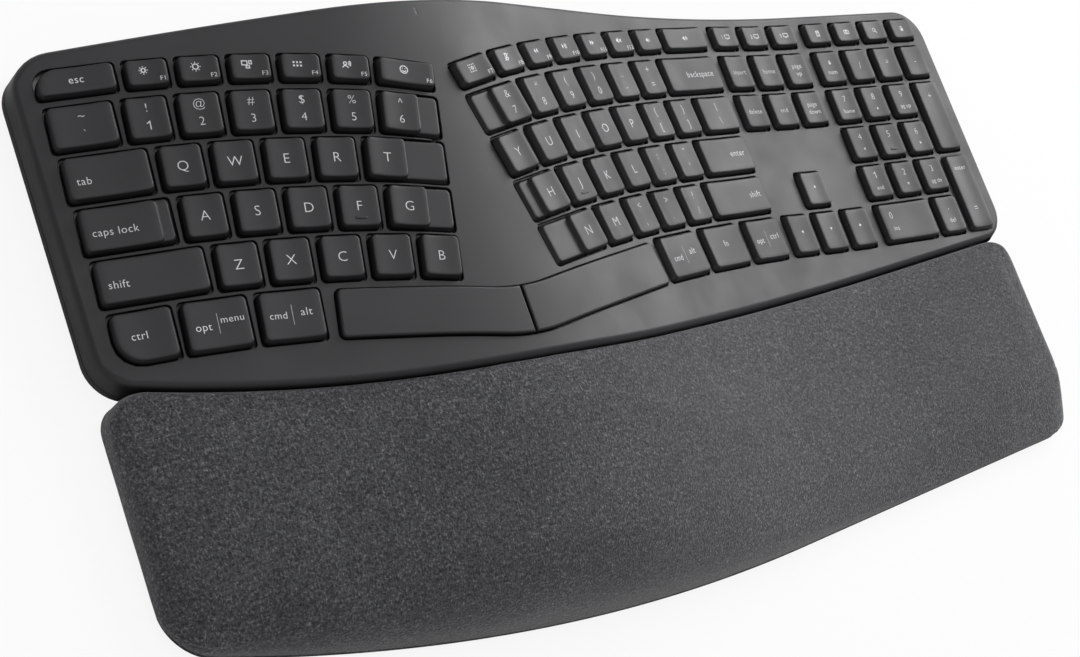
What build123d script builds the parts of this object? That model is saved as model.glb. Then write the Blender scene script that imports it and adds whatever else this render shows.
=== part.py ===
"""Ergonomic split keyboard with a wave-shaped deck, a numeric pad and a cushioned palm rest.

Millimetres. X runs across the keyboard, Y towards its back edge and Z up from the desk.
"""
from build123d import *
from collections import namedtuple
import math
import os

os.makedirs("parts", exist_ok=True)

# Overall size
body_width = 456.0
back_y = 116.5
palm_front_y = -116.5
corner_radius = 15.0
overrun = 5.0

# Wave of the deck, seen from the front
crest_x = -77.0
deck_crest_z = 45.2
deck_flat_z = 15.2
deck_left_z = 14.4
crest_radius = 208.0
dish_radius = 600.0
ramp_slope = math.radians(12.4)

# Bowed front edges of the deck and of the palm rest
deck_front_y = -27.0
deck_bow_left_radius = 480.0
deck_bow_right_radius = 730.0
deck_bow_run = 73.0
palm_bow_x = -36.0
palm_bow_left_radius = 760.0
palm_bow_right_radius = 800.0
palm_bow_run = 84.0
seam_gap = 0.4

# Casing
wall = 2.0
rim_bevel = 2.2
floor_z = 1.5
parting_z = 5.0
parting_gap = 0.2
lip_clearance = 0.15
lip_wall = 1.4
lip_height = 3.0
fit_gap = 0.05
bottom_edge = 1.0

# Layers under the keys, measured down from the deck along its normal
membrane_depth = 4.3
membrane_thickness = 0.5
plate_thickness = 1.0
layer_edge_gap = 1.0
flank_bends = 2
crest_bends = 6
front_bends = 4
corner_cut_share = 0.3
dish_bends = 4
rib_thickness = 1.6
rib_gap = 0.3
rib_ys = (79.0, 21.0)

# Key caps
cap_width = 14.1
cap_depth = 15.2
function_cap_depth = 9.6
bottom_cap_depth = 17.2
cap_rise = 2.5
cap_height = 4.2
cap_flare = 0.8
cap_corner = 1.6
cap_gap = 4.2
dish_depth = 0.3
dish_margin = 1.8
opening_clearance = 0.4
lock_step_drop = 1.0
wedge_step_drop = 1.8
esc_round = 7.0
ctrl_round = 9.0

# Rows, from the function row to the bottom row, where the right-hand arcs level out
row_one_y = 88.8
function_pitch = 16.9
row_pitch = 18.9
bottom_pitch = 20.0
left_drop = 1.5
left_arc_x = -248.0
left_arc_radius = 660.0
right_arc_x = 105.7
right_arc_radius = 700.0

# Key positions along the rows
left_edge_x = -221.0
left_pitch = 17.6
right_edge_x = 83.7
right_pitch = 18.05
left_first_xs = (-184.9, -189.2, -183.0, -181.0, -175.2)
right_first_xs = (-43.7, -33.3, -56.5, -29.9, -17.1)
wedge_back_gap = 5.8
wedge_front_gap = 21.0
pad_pitch = 18.6
navigation_x = 96.9
pad_x = 155.6
ctrl_right_x = -202.0
option_left_x = -198.4
option_right_x = -177.5
command_left_x = -173.4
command_right_x = -152.9
right_command_left_x = 5.6
right_command_right_x = 30.0
fn_left_x = 34.6
fn_right_x = 57.8
right_option_left_x = 62.8

# Space bars
bar_back_y = -2.0
bar_depth = 18.0
bar_heading = math.radians(10.8)
bar_bend_radius = 70.0
bar_left_x = -148.5
bar_right_x = 3.0
bar_split = 0.8
bar_clearance = 0.5
bar_rise = 1.6
bar_bottom = 1.8
bar_edge = 0.5
bar_corner = 2.0

# Rubber domes
dome_base_radius = 4.0
dome_height = 2.0
dome_lift = 0.35
dome_taper = 35.0
dome_sides = 4
boss_sides = 6
cell_sides = 12
bar_dome_xs = (-118.0, -38.0)

# Bosses where the two covers are screwed together
boss_points = ((-165.0, 108.5), (-77.0, 100.0), (-77.0, 70.0), (143.0, 50.0), (-165.0, -10.5), (100.0, -4.8))
boss_radius = 2.6
boss_low_z = 8.0
boss_gap = 0.3
boss_foot_radius = 4.2

# Battery bay, its door, cells and contacts
bay_x = -77.0
bay_y = 40.0
bay_length = 49.0
bay_width = 22.6
bay_wall = 1.5
cell_radius = 5.25
cell_length = 44.5
cell_tip_radius = 1.9
cell_tip_length = 0.8
cell_gap = 0.3
door_thickness = 1.6
door_gap = 0.3
door_edge_cut = 0.5
door_pin_radius = 0.45
door_pin_play = 0.05
door_pin_length = 1.3
door_grip_length = 14.0
door_grip_width = 3.0
door_grip_depth = 0.8
contact_thickness = 0.5
contact_height = 8.0
contact_inset = 0.2
contact_bump_radius = 1.6
contact_bump_height = 1.0

# Circuit board with its switch, and the light in the deck
board_x = -20.0
board_y = 96.0
board_z = 9.0
board_length = 100.0
board_width = 22.0
board_thickness = 1.2
board_post_radius = 2.0
board_post_inset = 4.0
chip_size = 9.0
chip_height = 1.1
chip_x = -45.0
connector_length = 18.0
connector_width = 4.0
connector_height = 2.2
connector_x = -10.0
connector_y = 90.0
switch_x = 18.0
switch_length = 9.5
switch_width = 5.0
switch_height = 3.6
switch_back_y = 106.6
knob_width = 3.6
knob_height = 2.2
knob_sink = 0.6
knob_play = 0.3
switch_travel = 3.0
light_x = -79.0
light_y = 110.8
light_width = 0.9
light_length = 3.2
light_height = 3.0
light_gap = 0.05

# Rubber feet, each a length and a width
foot_length = 36.0
foot_width = 9.0
foot_seat = 0.5
foot_gap = 0.1
keyboard_foot_points = ((-199.0, 100.0), (199.0, 100.0), (-199.0, 2.0), (199.0, 8.0), (0.0, -6.0))
palm_foot_points = ((-199.0, -40.0), (199.0, -34.0), (-205.0, -78.0), (205.0, -74.0), (-20.0, -96.0))

# Palm rest, from the cloth inwards
palm_sink = 1.2
palm_low_z = 2.8
cloth_thickness = 0.9
foam_thickness = 3.6
frame_wall = 1.6
layer_gap = 0.05
palm_back_round = 4.0
palm_end_round = 7.0
palm_roll_low = 15.0
palm_roll_high = 30.0
palm_fall_low = 1.4
palm_fall_high = 5.0
least_fall_share = 0.3
palm_nose_z = 4.5
palm_crown_fall = math.radians(7.0)
palm_gentle = math.radians(20.0)
palm_steeps = (math.radians(40.0), math.radians(60.0), math.radians(80.0))
longest_roll_share = 2.4
palm_base_thickness = 2.0
palm_boss_points = ((-202.0, -58.0), (-77.0, -70.0), (40.0, -66.0), (202.0, -52.0))
palm_boss_radius = 3.0

# Steel joining plates across the seam
joint_xs = (-130.0, 118.0)
joint_length = 30.0
joint_width = 36.0
joint_thickness = 1.2
joint_play = 0.1
joint_boss_offset = 12.0
joint_boss_radius = 3.0
joint_boss_z = 6.0

# Tilt legs under the palm rest, each side has a long one and a short one
leg_width = 22.0
leg_thickness = 3.2
leg_play = 0.1
leg_side_gap = 0.3
leg_pin_radius = 1.0
leg_pin_play = 0.06
pin_flat_share = 0.6
bore_sides = 6
leg_pin_length = 2.4
leg_swing_gap = 0.5
leg_finger_gap = 4.0
leg_roof = 0.9
leg_side_wall = 3.4
leg_tip_corner = 3.0
leg_butt_cut = 1.2
leg_pin_y = -80.0
long_leg_length = 25.0
short_leg_length = 14.5
left_long_leg_x = -168.0
left_short_leg_x = -138.0
right_long_leg_x = 168.0
right_short_leg_x = 138.0

# Places that follow from the sizes above
half_width = body_width / 2
row_ys = [row_one_y + function_pitch]
row_ys += [row_one_y - row_pitch * step for step in range(4)]
row_ys += [row_ys[4] - bottom_pitch]
plate_depth = membrane_depth + membrane_thickness + fit_gap
plate_bottom_depth = plate_depth + plate_thickness
crest_centre_z = deck_crest_z - crest_radius
left_slope = math.atan((deck_crest_z - deck_left_z) / (crest_x + half_width))
left_tangent_x = crest_x - crest_radius * math.sin(left_slope)
left_tangent_z = crest_centre_z + crest_radius * math.cos(left_slope)
flank_run = left_tangent_x + half_width
flank_drop = left_tangent_z - deck_left_z
flank_sag = flank_drop * math.cos(left_slope) - flank_run * math.sin(left_slope)
flank_radius = (flank_run**2 + flank_drop**2) / (2 * flank_sag)
flank_x = crest_x + (flank_radius - crest_radius) * math.sin(left_slope)
flank_centre_z = crest_centre_z - (flank_radius - crest_radius) * math.cos(left_slope)
right_tangent_x = crest_x + crest_radius * math.sin(ramp_slope)
arc_drop = (crest_radius + dish_radius) * (1 - math.cos(ramp_slope))
ramp_run = (deck_crest_z - deck_flat_z - arc_drop) / math.tan(ramp_slope)
dish_start_x = right_tangent_x + ramp_run
flat_start_x = dish_start_x + dish_radius * math.sin(ramp_slope)


def save(part, name):
    """Label a finished piece and write it."""
    part.label = name
    export_step(part, f"parts/{name}.step")


# The deck's wave and its layers


def deck_at(x):
    """Height and slope of the deck at x, the slope positive where it rises to the right."""
    if x < left_tangent_x:
        slope = -math.asin((x - flank_x) / flank_radius)
        return flank_centre_z + flank_radius * math.cos(slope), slope
    if x < right_tangent_x:
        slope = -math.asin((x - crest_x) / crest_radius)
        return crest_centre_z + crest_radius * math.cos(slope), slope
    tangent_z = crest_centre_z + crest_radius * math.cos(ramp_slope)
    if x < dish_start_x:
        return tangent_z - (x - right_tangent_x) * math.tan(ramp_slope), -ramp_slope
    if x < flat_start_x:
        slope = -math.asin((flat_start_x - x) / dish_radius)
        return deck_flat_z + dish_radius * (1 - math.cos(slope)), slope
    return deck_flat_z, 0.0


def wave_points(depth):
    """Points of the wave lying depth below the deck, from the left edge to the right one."""
    left_x = -half_width - overrun
    flank = flank_radius - depth
    crest = crest_radius - depth
    dish = dish_radius + depth
    dish_centre_z = deck_flat_z + dish_radius

    def on_flank(x):
        return x, flank_centre_z + math.sqrt(flank**2 - (x - flank_x) ** 2)

    def on_dish(angle):
        return flat_start_x - dish * math.sin(angle), dish_centre_z - dish * math.cos(angle)

    left_tangent = (crest_x - crest * math.sin(left_slope), crest_centre_z + crest * math.cos(left_slope))
    right_tangent = (crest_x + crest * math.sin(ramp_slope), crest_centre_z + crest * math.cos(ramp_slope))
    return [
        on_flank(left_x),
        on_flank((left_x + left_tangent[0]) / 2),
        left_tangent,
        (crest_x, crest_centre_z + crest),
        right_tangent,
        on_dish(ramp_slope),
        on_dish(ramp_slope / 2),
        on_dish(0),
        (half_width + overrun, dish_centre_z - dish),
    ]


def bent_points(depth):
    """The same wave in straight runs, for sheets bent from flat stock and for hidden sides."""
    flank = flank_radius - depth
    crest = crest_radius - depth
    dish = dish_radius + depth
    dish_centre_z = deck_flat_z + dish_radius
    edge_angle = math.asin((flank_x + half_width + overrun) / flank_radius)
    points = []
    for step in range(flank_bends):
        angle = edge_angle + (left_slope - edge_angle) * step / flank_bends
        points.append((flank_x - flank * math.sin(angle), flank_centre_z + flank * math.cos(angle)))
    for step in range(crest_bends + 1):
        angle = (left_slope + ramp_slope) * step / crest_bends - left_slope
        points.append((crest_x + crest * math.sin(angle), crest_centre_z + crest * math.cos(angle)))
    for step in range(dish_bends + 1):
        angle = ramp_slope * (1 - step / dish_bends)
        points.append((flat_start_x - dish * math.sin(angle), dish_centre_z - dish * math.cos(angle)))
    points.append((half_width + overrun, dish_centre_z - dish))
    return points


def closed_lines(points):
    """Straight edges through the points and back to the first one."""
    return [Edge.make_line(start, end) for start, end in zip(points, points[1:] + points[:1])]


def under_bends(depth, low_z):
    """Outline of the space between a level line and the bent wave, in the XZ plane."""
    points = bent_points(depth)
    return closed_lines(points + [(points[-1][0], low_z), (points[0][0], low_z)])


def bent_band(upper_depth, lower_depth):
    """Outline of a bent sheet between two depths, in the XZ plane."""
    return closed_lines(bent_points(upper_depth) + bent_points(lower_depth)[::-1])


def wave_edges(points):
    """Arc, arc, line, arc and line that run through the points of a wave."""
    return [
        Edge.make_three_point_arc(*points[0:3]),
        Edge.make_three_point_arc(*points[2:5]),
        Edge.make_line(points[4], points[5]),
        Edge.make_three_point_arc(*points[5:8]),
        Edge.make_line(points[7], points[8]),
    ]


def under_wave(depth, low_z):
    """Outline of the space between a level line and the wave, in the XZ plane."""
    points = wave_points(depth)
    start = points[0]
    end = points[-1]
    edges = wave_edges(points)
    edges.append(Edge.make_line(end, (end[0], low_z)))
    edges.append(Edge.make_line((end[0], low_z), (start[0], low_z)))
    edges.append(Edge.make_line((start[0], low_z), start))
    return edges


def wave_band(upper_depth, lower_depth):
    """Outline of the layer between two waves, in the XZ plane."""
    upper = wave_points(upper_depth)
    lower = wave_points(lower_depth)
    edges = wave_edges(upper) + wave_edges(lower)
    edges.append(Edge.make_line(upper[-1], lower[-1]))
    edges.append(Edge.make_line(lower[0], upper[0]))
    return edges


def bow_y(x, vertex_x, vertex_y, left_radius, right_radius, run):
    """Front edge: an arc left of the vertex, an arc over run right of it, then its tangent."""
    offset = x - vertex_x
    if offset < 0:
        return vertex_y + left_radius - math.sqrt(left_radius**2 - offset**2)
    if offset < run:
        return vertex_y + right_radius - math.sqrt(right_radius**2 - offset**2)
    rise = math.sqrt(right_radius**2 - run**2)
    return vertex_y + right_radius - rise + (offset - run) * run / rise


def deck_front(x, inset=0.0):
    """Front edge of the keyboard at x."""
    radii = (deck_bow_left_radius - inset, deck_bow_right_radius - inset)
    return bow_y(x, crest_x, deck_front_y + inset, *radii, deck_bow_run)


def palm_back(x, inset=0.0):
    """Back edge of the palm rest, which follows the keyboard."""
    return deck_front(x) - seam_gap - inset


def palm_front(x, inset=0.0):
    """Front edge of the palm rest at x."""
    radii = (palm_bow_left_radius - inset, palm_bow_right_radius - inset)
    return bow_y(x, palm_bow_x, palm_front_y + inset, *radii, palm_bow_run)


def front_edges(curve, vertex_x, run, inset):
    """The bowed edge as two arcs and a line, from the left side to the right one."""
    stops = (inset - half_width, (inset - half_width + vertex_x) / 2, vertex_x)
    stops += (vertex_x + run / 2, vertex_x + run, half_width - inset)
    points = [(x, curve(x, inset)) for x in stops]
    return points, [
        Edge.make_three_point_arc(*points[0:3]),
        Edge.make_three_point_arc(*points[2:5]),
        Edge.make_line(points[4], points[5]),
    ]


def keyboard_outline(inset=0.0):
    """Plan of the keyboard without the palm rest, drawn in by inset."""
    points, edges = front_edges(deck_front, crest_x, deck_bow_run, inset)
    back_left = (inset - half_width, back_y - inset)
    back_right = (half_width - inset, back_y - inset)
    edges.append(Edge.make_line(points[-1], back_right))
    edges.append(Edge.make_line(back_right, back_left))
    edges.append(Edge.make_line(back_left, points[0]))
    with BuildSketch() as plan:
        make_face(edges)
        corners = plan.vertices().group_by(Axis.X)
        fillet(corners[0] + corners[-1], radius=corner_radius - inset)
    return plan.sketch


def inner_outline(inset):
    """Plan of the space inside the keyboard in straight runs, drawn in by inset."""
    reach = half_width - inset
    cut = (corner_radius - inset) * (1 - corner_cut_share)
    stops = [-reach + cut]
    stops += [crest_x - (crest_x + reach - cut) * (1 - step / front_bends) for step in range(1, front_bends)]
    stops += [crest_x, crest_x + deck_bow_run / 2, crest_x + deck_bow_run, reach - cut]
    points = [(x, deck_front(x, inset)) for x in stops]
    points.append((reach, deck_front(reach, inset) + cut))
    points.append((reach, back_y - inset - cut))
    points.append((reach - cut, back_y - inset))
    points.append((cut - reach, back_y - inset))
    points.append((-reach, back_y - inset - cut))
    points.append((-reach, deck_front(-reach, inset) + cut))
    with BuildSketch() as plan:
        make_face(closed_lines(points))
    return plan.sketch


# Layout of the keys

Cap = namedtuple("Cap", "plane width depth step round")


def row_point(row, x):
    """Y and heading of a row at x: the left rows fall towards the crest, the right ones rise."""
    if x < crest_x:
        offset = x - left_arc_x
        radius = left_arc_radius
        level = row_ys[row] - left_drop
    else:
        offset = min(x - right_arc_x, 0)
        radius = right_arc_radius
        level = row_ys[row]
    return level - radius + math.sqrt(radius**2 - offset**2), -math.asin(offset / radius)


def key_plane(x, y, heading, rise=cap_rise):
    """Plane that lies on the deck at x and y, lifted by rise and turned to the heading."""
    z, slope = deck_at(x)
    along = (math.cos(heading), math.sin(heading), math.cos(heading) * math.tan(slope))
    normal = (-math.sin(slope), 0, math.cos(slope))
    return Plane(origin=(x, y, z + rise / math.cos(slope)), x_dir=along, z_dir=normal)


def row_depth(row):
    """Front to back size of the cap tops in a row."""
    depths = (function_cap_depth, cap_depth, cap_depth, cap_depth, cap_depth, bottom_cap_depth)
    return depths[row]


def row_cap(row, x, width=cap_width, step=0.0, round_corner=None):
    """A cap on its row, with the width of a flat extension and a corner to round, if any."""
    y, heading = row_point(row, x)
    return Cap(key_plane(x, y, heading), width, row_depth(row), step, round_corner)


def plan_width(row, x, width):
    """Width seen from above of something that lies along a row."""
    heading = row_point(row, x)[1]
    slope = deck_at(x)[1]
    return width * math.cos(heading) * math.cos(slope)


def span_cap(row, left_x, right_x, step=0.0, round_corner=None):
    """A wide cap between two places on its row."""
    x = (left_x + right_x) / 2
    width = (right_x - left_x) * cap_width / plan_width(row, x, cap_width)
    return row_cap(row, x, width, step, round_corner)


def run_xs(first_x, pitch, count):
    """Places of a run of standard caps."""
    return [first_x + pitch * index for index in range(count)]


def run_caps(row, xs):
    """A run of standard caps."""
    return [row_cap(row, x) for x in xs]


def leading_edge(row, x):
    """Left side of the gap before a standard cap."""
    return x - plan_width(row, x, cap_width / 2 + cap_gap)


def trailing_edge(row, x):
    """Right side of the gap behind a standard cap."""
    return x + plan_width(row, x, cap_width / 2 + cap_gap)


def wedge_gap(row):
    """Half the width of the bare wedge between the two halves, at a row."""
    share = (row_ys[0] - row_ys[row]) / (row_ys[0] - row_ys[4])
    return wedge_back_gap + (wedge_front_gap - wedge_back_gap) * share


def cap_to_wedge(row, x, stepped=True):
    """Left-hand cap that grows from its standard place to the wedge."""
    left_x = x - plan_width(row, x, cap_width / 2)
    right_x = crest_x - wedge_gap(row)
    extension = right_x - left_x - plan_width(row, x, cap_width)
    return span_cap(row, left_x, right_x, step=extension if stepped else 0.0)


def pad_cap(column_x, column, row, columns=1, rows=1):
    """A cap of the navigation block or number pad that may cover several columns or rows."""
    x = column_x + pad_pitch * (column + (columns - 1) / 2)
    width = cap_width + pad_pitch * (columns - 1)
    back = row_ys[row] + row_depth(row) / 2
    last = row + rows - 1
    front = row_ys[last] - row_depth(last) / 2
    return Cap(key_plane(x, (back + front) / 2, 0.0), width, back - front, 0.0, None)


left_counts = (6, 6, 5, 5, 5)
right_counts = (6, 5, 7, 5, 4)
left_xs = [run_xs(x, left_pitch, count) for x, count in zip(left_first_xs, left_counts)]
right_xs = [run_xs(x, right_pitch, count) for x, count in zip(right_first_xs, right_counts)]

left_function = run_caps(0, left_xs[0][:-1]) + [cap_to_wedge(0, left_xs[0][-1], stepped=False)]
left_number = run_caps(1, left_xs[1][:-1]) + [cap_to_wedge(1, left_xs[1][-1])]
left_top = run_caps(2, left_xs[2][:-1]) + [cap_to_wedge(2, left_xs[2][-1])]
left_home = run_caps(3, left_xs[3][:-1]) + [cap_to_wedge(3, left_xs[3][-1])]
left_bottom = run_caps(4, left_xs[4])

seven_right_x = leading_edge(1, right_xs[1][0])
home_right_x = leading_edge(3, right_xs[3][0])
bottom_right_x = leading_edge(4, right_xs[4][0])
f_seven_right_x = leading_edge(0, right_xs[0][0])


def wedge_span(row, right_x):
    """Right-hand cap from the wedge to right_x whose standard area lies at its right end."""
    left_x = crest_x + wedge_gap(row)
    extension = right_x - left_x - plan_width(row, right_x, cap_width)
    return span_cap(row, left_x, right_x, step=-extension)


right_function = [span_cap(0, crest_x + wedge_gap(0), f_seven_right_x)] + run_caps(0, right_xs[0])
right_function += [span_cap(0, trailing_edge(0, right_xs[0][-1]), right_edge_x)]
right_number = [wedge_span(1, seven_right_x)] + run_caps(1, right_xs[1])
right_top = run_caps(2, right_xs[2]) + [span_cap(2, trailing_edge(2, right_xs[2][-1]), right_edge_x)]
right_home = [wedge_span(3, home_right_x)] + run_caps(3, right_xs[3])
right_bottom = [wedge_span(4, bottom_right_x)] + run_caps(4, right_xs[4])

caps_lock_right_x = leading_edge(3, left_xs[3][0])
caps_lock_step = plan_width(3, caps_lock_right_x, cap_gap)

key_groups = {
    "escape_key": [span_cap(0, left_edge_x, leading_edge(0, left_xs[0][0]), round_corner="back")],
    "left_function_keys": left_function,
    "right_function_keys": right_function,
    "device_keys": [pad_cap(navigation_x, column, 0) for column in range(3)],
    "shortcut_keys": [pad_cap(pad_x, column, 0) for column in range(4)],
    "grave_key": [span_cap(1, left_edge_x, leading_edge(1, left_xs[1][0]))],
    "left_number_keys": left_number,
    "right_number_keys": right_number,
    "backspace_key": [span_cap(1, trailing_edge(1, right_xs[1][-1]), right_edge_x)],
    "tab_key": [span_cap(2, left_edge_x, leading_edge(2, left_xs[2][0]))],
    "left_top_letter_keys": left_top,
    "right_top_letter_keys": right_top,
    "caps_lock_key": [span_cap(3, left_edge_x, caps_lock_right_x, step=caps_lock_step)],
    "left_home_letter_keys": left_home,
    "right_home_letter_keys": right_home,
    "enter_key": [span_cap(3, trailing_edge(3, right_xs[3][-1]), right_edge_x)],
    "left_shift_key": [span_cap(4, left_edge_x, leading_edge(4, left_xs[4][0]))],
    "left_bottom_letter_keys": left_bottom,
    "right_bottom_letter_keys": right_bottom,
    "right_shift_key": [span_cap(4, trailing_edge(4, right_xs[4][-1]), right_edge_x)],
    "control_key": [span_cap(5, left_edge_x, ctrl_right_x, round_corner="front")],
    "left_modifier_keys": [
        span_cap(5, option_left_x, option_right_x),
        span_cap(5, command_left_x, command_right_x),
    ],
    "right_modifier_keys": [
        span_cap(5, right_command_left_x, right_command_right_x),
        span_cap(5, fn_left_x, fn_right_x),
        span_cap(5, right_option_left_x, right_edge_x),
    ],
    "navigation_keys": [pad_cap(navigation_x, column, row) for row in (1, 2) for column in range(3)],
    "arrow_keys": [pad_cap(navigation_x, 1, 4)] + [pad_cap(navigation_x, column, 5) for column in range(3)],
    "pad_operator_keys": [pad_cap(pad_x, column, 1) for column in range(4)],
    "pad_number_keys": [pad_cap(pad_x, column, row) for row in (2, 3, 4) for column in range(3)],
    "pad_plus_key": [pad_cap(pad_x, 3, 2, rows=2)],
    "pad_enter_key": [pad_cap(pad_x, 3, 4, rows=2)],
    "pad_zero_key": [pad_cap(pad_x, 0, 5, columns=2)],
    "pad_point_key": [pad_cap(pad_x, 2, 5)],
}
all_caps = [cap for caps in key_groups.values() for cap in caps]


def rounded_corner(cap):
    """Radius of a cap's one large corner."""
    return esc_round if cap.round == "back" else ctrl_round


def cap_outline(cap, grow):
    """Outline of a cap grown on every side, with cut corners and at most one large round one."""
    half_w = cap.width / 2 + grow
    half_d = cap.depth / 2 + grow
    with BuildSketch() as outline:
        Rectangle(2 * half_w, 2 * half_d)
        corners = outline.vertices()
        if cap.round:
            side = -1 if cap.round == "back" else 0
            big = corners.group_by(Axis.Y)[side].sort_by(Axis.X)[0:1]
            corners = ShapeList([v for v in corners if v != big[0]])
            fillet(big, radius=rounded_corner(cap) + grow)
            corners = ShapeList([v for v in outline.vertices() if abs(abs(v.X) - half_w) < fit_gap])
            corners = ShapeList([v for v in corners if abs(abs(v.Y) - half_d) < fit_gap])
        chamfer(corners, cap_corner + grow / 2)
    return outline.sketch


def build_caps(caps, step_drop):
    """Tapered caps with a dished top, and a flat extension that lies step_drop lower where they have one."""
    taper = math.degrees(math.atan(cap_flare / cap_height))
    with BuildPart() as keys:
        for cap in caps:
            with BuildSketch(cap.plane.offset(-cap_height)):
                add(cap_outline(cap, cap_flare))
            extrude(amount=cap_height, taper=taper)
            dished = cap.width - abs(cap.step) - 2 * dish_margin
            dish = dished**2 / (8 * dish_depth)
            with Locations(cap.plane.offset(dish - dish_depth)):
                with Locations((-cap.step / 2, 0)):
                    Cylinder(dish, cap.depth + cap_height, rotation=(90, 0, 0), mode=Mode.SUBTRACT)
            if cap.step:
                side = math.copysign(1, cap.step)
                centre = side * (cap.width / 2 - abs(cap.step) / 2 + overrun / 2)
                with BuildSketch(cap.plane.offset(-step_drop)):
                    with Locations((centre, 0)):
                        Rectangle(abs(cap.step) + overrun, cap.depth + overrun)
                extrude(amount=step_drop + dish_depth, mode=Mode.SUBTRACT)
    return keys.part


def bar_outline(grow=0.0):
    """Plan of both space bars together: a bent strip that is rounded at the crest."""
    rise = math.tan(bar_heading)
    left = crest_x - bar_left_x
    right = bar_right_x - crest_x
    lean = bar_depth * math.sin(bar_heading) * math.cos(bar_heading)
    front = bar_back_y - bar_depth
    corners = [
        (crest_x, bar_back_y),
        (crest_x - left + lean, bar_back_y + (left - lean) * rise),
        (crest_x - left, front + left * rise),
        (crest_x, front),
        (crest_x + right, front + right * rise),
        (crest_x + right - lean, bar_back_y + (right - lean) * rise),
    ]
    with BuildSketch() as plan:
        with BuildLine():
            Polyline(*corners, close=True)
        make_face()
        middle = ShapeList([v for v in plan.vertices() if abs(v.X - crest_x) < fit_gap])
        fillet(middle, radius=bar_bend_radius)
        ends = plan.vertices().group_by(Axis.X)
        chamfer(ends[0] + ends[1] + ends[-1] + ends[-2], bar_corner)
        if grow:
            offset(amount=grow)
    return plan.sketch


def one_bar(side):
    """Plan of the left (side -1) or right (side 1) space bar."""
    span = bar_right_x - bar_left_x
    with BuildSketch() as plan:
        add(bar_outline())
        with Locations((crest_x + side * (span + bar_split / 2), bar_back_y)):
            Rectangle(2 * span, span, mode=Mode.INTERSECT)
    return plan.sketch


def wave_layer(upper_depth, lower_depth):
    """A layer under the whole deck, as deep as the keyboard, to be cut to a plan."""
    with BuildPart() as layer:
        with BuildSketch(Plane.XZ.offset(-back_y - overrun)):
            make_face(wave_band(upper_depth, lower_depth))
        extrude(amount=back_y + overrun - deck_front_y + overrun)
    return layer.part


def build_bar(side):
    """A space bar that follows the wave."""
    with BuildPart() as bar:
        add(wave_layer(-bar_rise, bar_bottom))
        with BuildSketch():
            add(one_bar(side))
        extrude(amount=deck_crest_z + overrun, mode=Mode.INTERSECT)
        top = bar.faces().filter_by(lambda face: face.normal_at(face.center()).Z > 0.9)
        walls = bar.faces().filter_by(lambda face: abs(face.normal_at(face.center()).Z) < 0.1)
        rim = [edge for edge in top.edges() if any(edge.is_same(other) for other in walls.edges())]
        chamfer(rim, bar_edge)
    return bar.part


# Key caps and space bars

for group_name, group_caps in key_groups.items():
    group_drop = lock_step_drop if group_name == "caps_lock_key" else wedge_step_drop
    save(build_caps(group_caps, group_drop), group_name)

save(build_bar(-1), "left_space_bar")
save(build_bar(1), "right_space_bar")

# Top cover: the wave-shaped shell with an opening for every key

with BuildPart() as cover_hollow:
    with BuildSketch(Plane.XZ.offset(-back_y - overrun)):
        make_face(under_bends(wall, floor_z))
    extrude(amount=back_y + overrun - deck_front_y + overrun)
    with BuildSketch():
        add(inner_outline(wall))
    extrude(amount=deck_crest_z + overrun, mode=Mode.INTERSECT)

with BuildPart() as boss_columns:
    with BuildSketch(Plane.XY.offset(boss_low_z)):
        with Locations(*boss_points):
            RegularPolygon(boss_radius, boss_sides)
    extrude(amount=deck_crest_z)
    add(cover_hollow.part, mode=Mode.INTERSECT)

light_top_z = deck_at(light_x)[0]
knob_z = board_z + board_thickness + switch_height / 2

with BuildPart() as top_cover:
    with BuildSketch(Plane.XZ.offset(-back_y - overrun)):
        make_face(under_wave(0, parting_z + parting_gap))
    extrude(amount=back_y + overrun - deck_front_y + overrun)
    with BuildSketch():
        add(keyboard_outline())
    extrude(amount=deck_crest_z + overrun, mode=Mode.INTERSECT)
    deck_faces = top_cover.faces().filter_by(lambda face: face.normal_at(face.center()).Z > 0.5)
    wall_faces = top_cover.faces().filter_by(lambda face: abs(face.normal_at(face.center()).Z) < 0.1)
    deck_rim = [edge for edge in deck_faces.edges() if any(edge.is_same(e) for e in wall_faces.edges())]
    chamfer(deck_rim, rim_bevel)
    add(cover_hollow.part, mode=Mode.SUBTRACT)
    add(boss_columns.part)
    for cap in all_caps:
        opening_grow = 2 * (cap_flare + opening_clearance)
        with BuildSketch(cap.plane):
            Rectangle(cap.width + opening_grow, cap.depth + opening_grow)
    extrude(amount=cap_height + wall, both=True, mode=Mode.SUBTRACT)
    with BuildSketch(Plane.XY.offset(deck_flat_z)):
        add(bar_outline(bar_clearance))
    extrude(amount=deck_crest_z, mode=Mode.SUBTRACT)
    with Locations((light_x, light_y, light_top_z)):
        Box(light_width + 2 * light_gap, light_length + 2 * light_gap, 2 * light_height, mode=Mode.SUBTRACT)
    with Locations((switch_x + switch_travel / 2, back_y, knob_z)):
        slot_length = knob_width + switch_travel + 2 * knob_play
        Box(slot_length, 3 * wall, knob_height + 2 * knob_play, mode=Mode.SUBTRACT)
save(top_cover.part, "top_cover")

# Layers under the keys: membrane, stiffening plate and rubber domes


def sheet_part(upper_depth, lower_depth):
    """A bent sheet inside the covers with holes where the bosses pass."""
    with BuildPart() as sheet:
        with BuildSketch(Plane.XZ.offset(-back_y - overrun)):
            make_face(bent_band(upper_depth, lower_depth))
        extrude(amount=back_y + overrun - deck_front_y + overrun)
        with BuildSketch():
            add(inner_outline(wall + lip_clearance + lip_wall + layer_edge_gap))
            with Locations(*boss_points):
                RegularPolygon(boss_radius + boss_gap, boss_sides, mode=Mode.SUBTRACT)
        extrude(amount=deck_crest_z + overrun, mode=Mode.INTERSECT)
    return sheet.part


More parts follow.
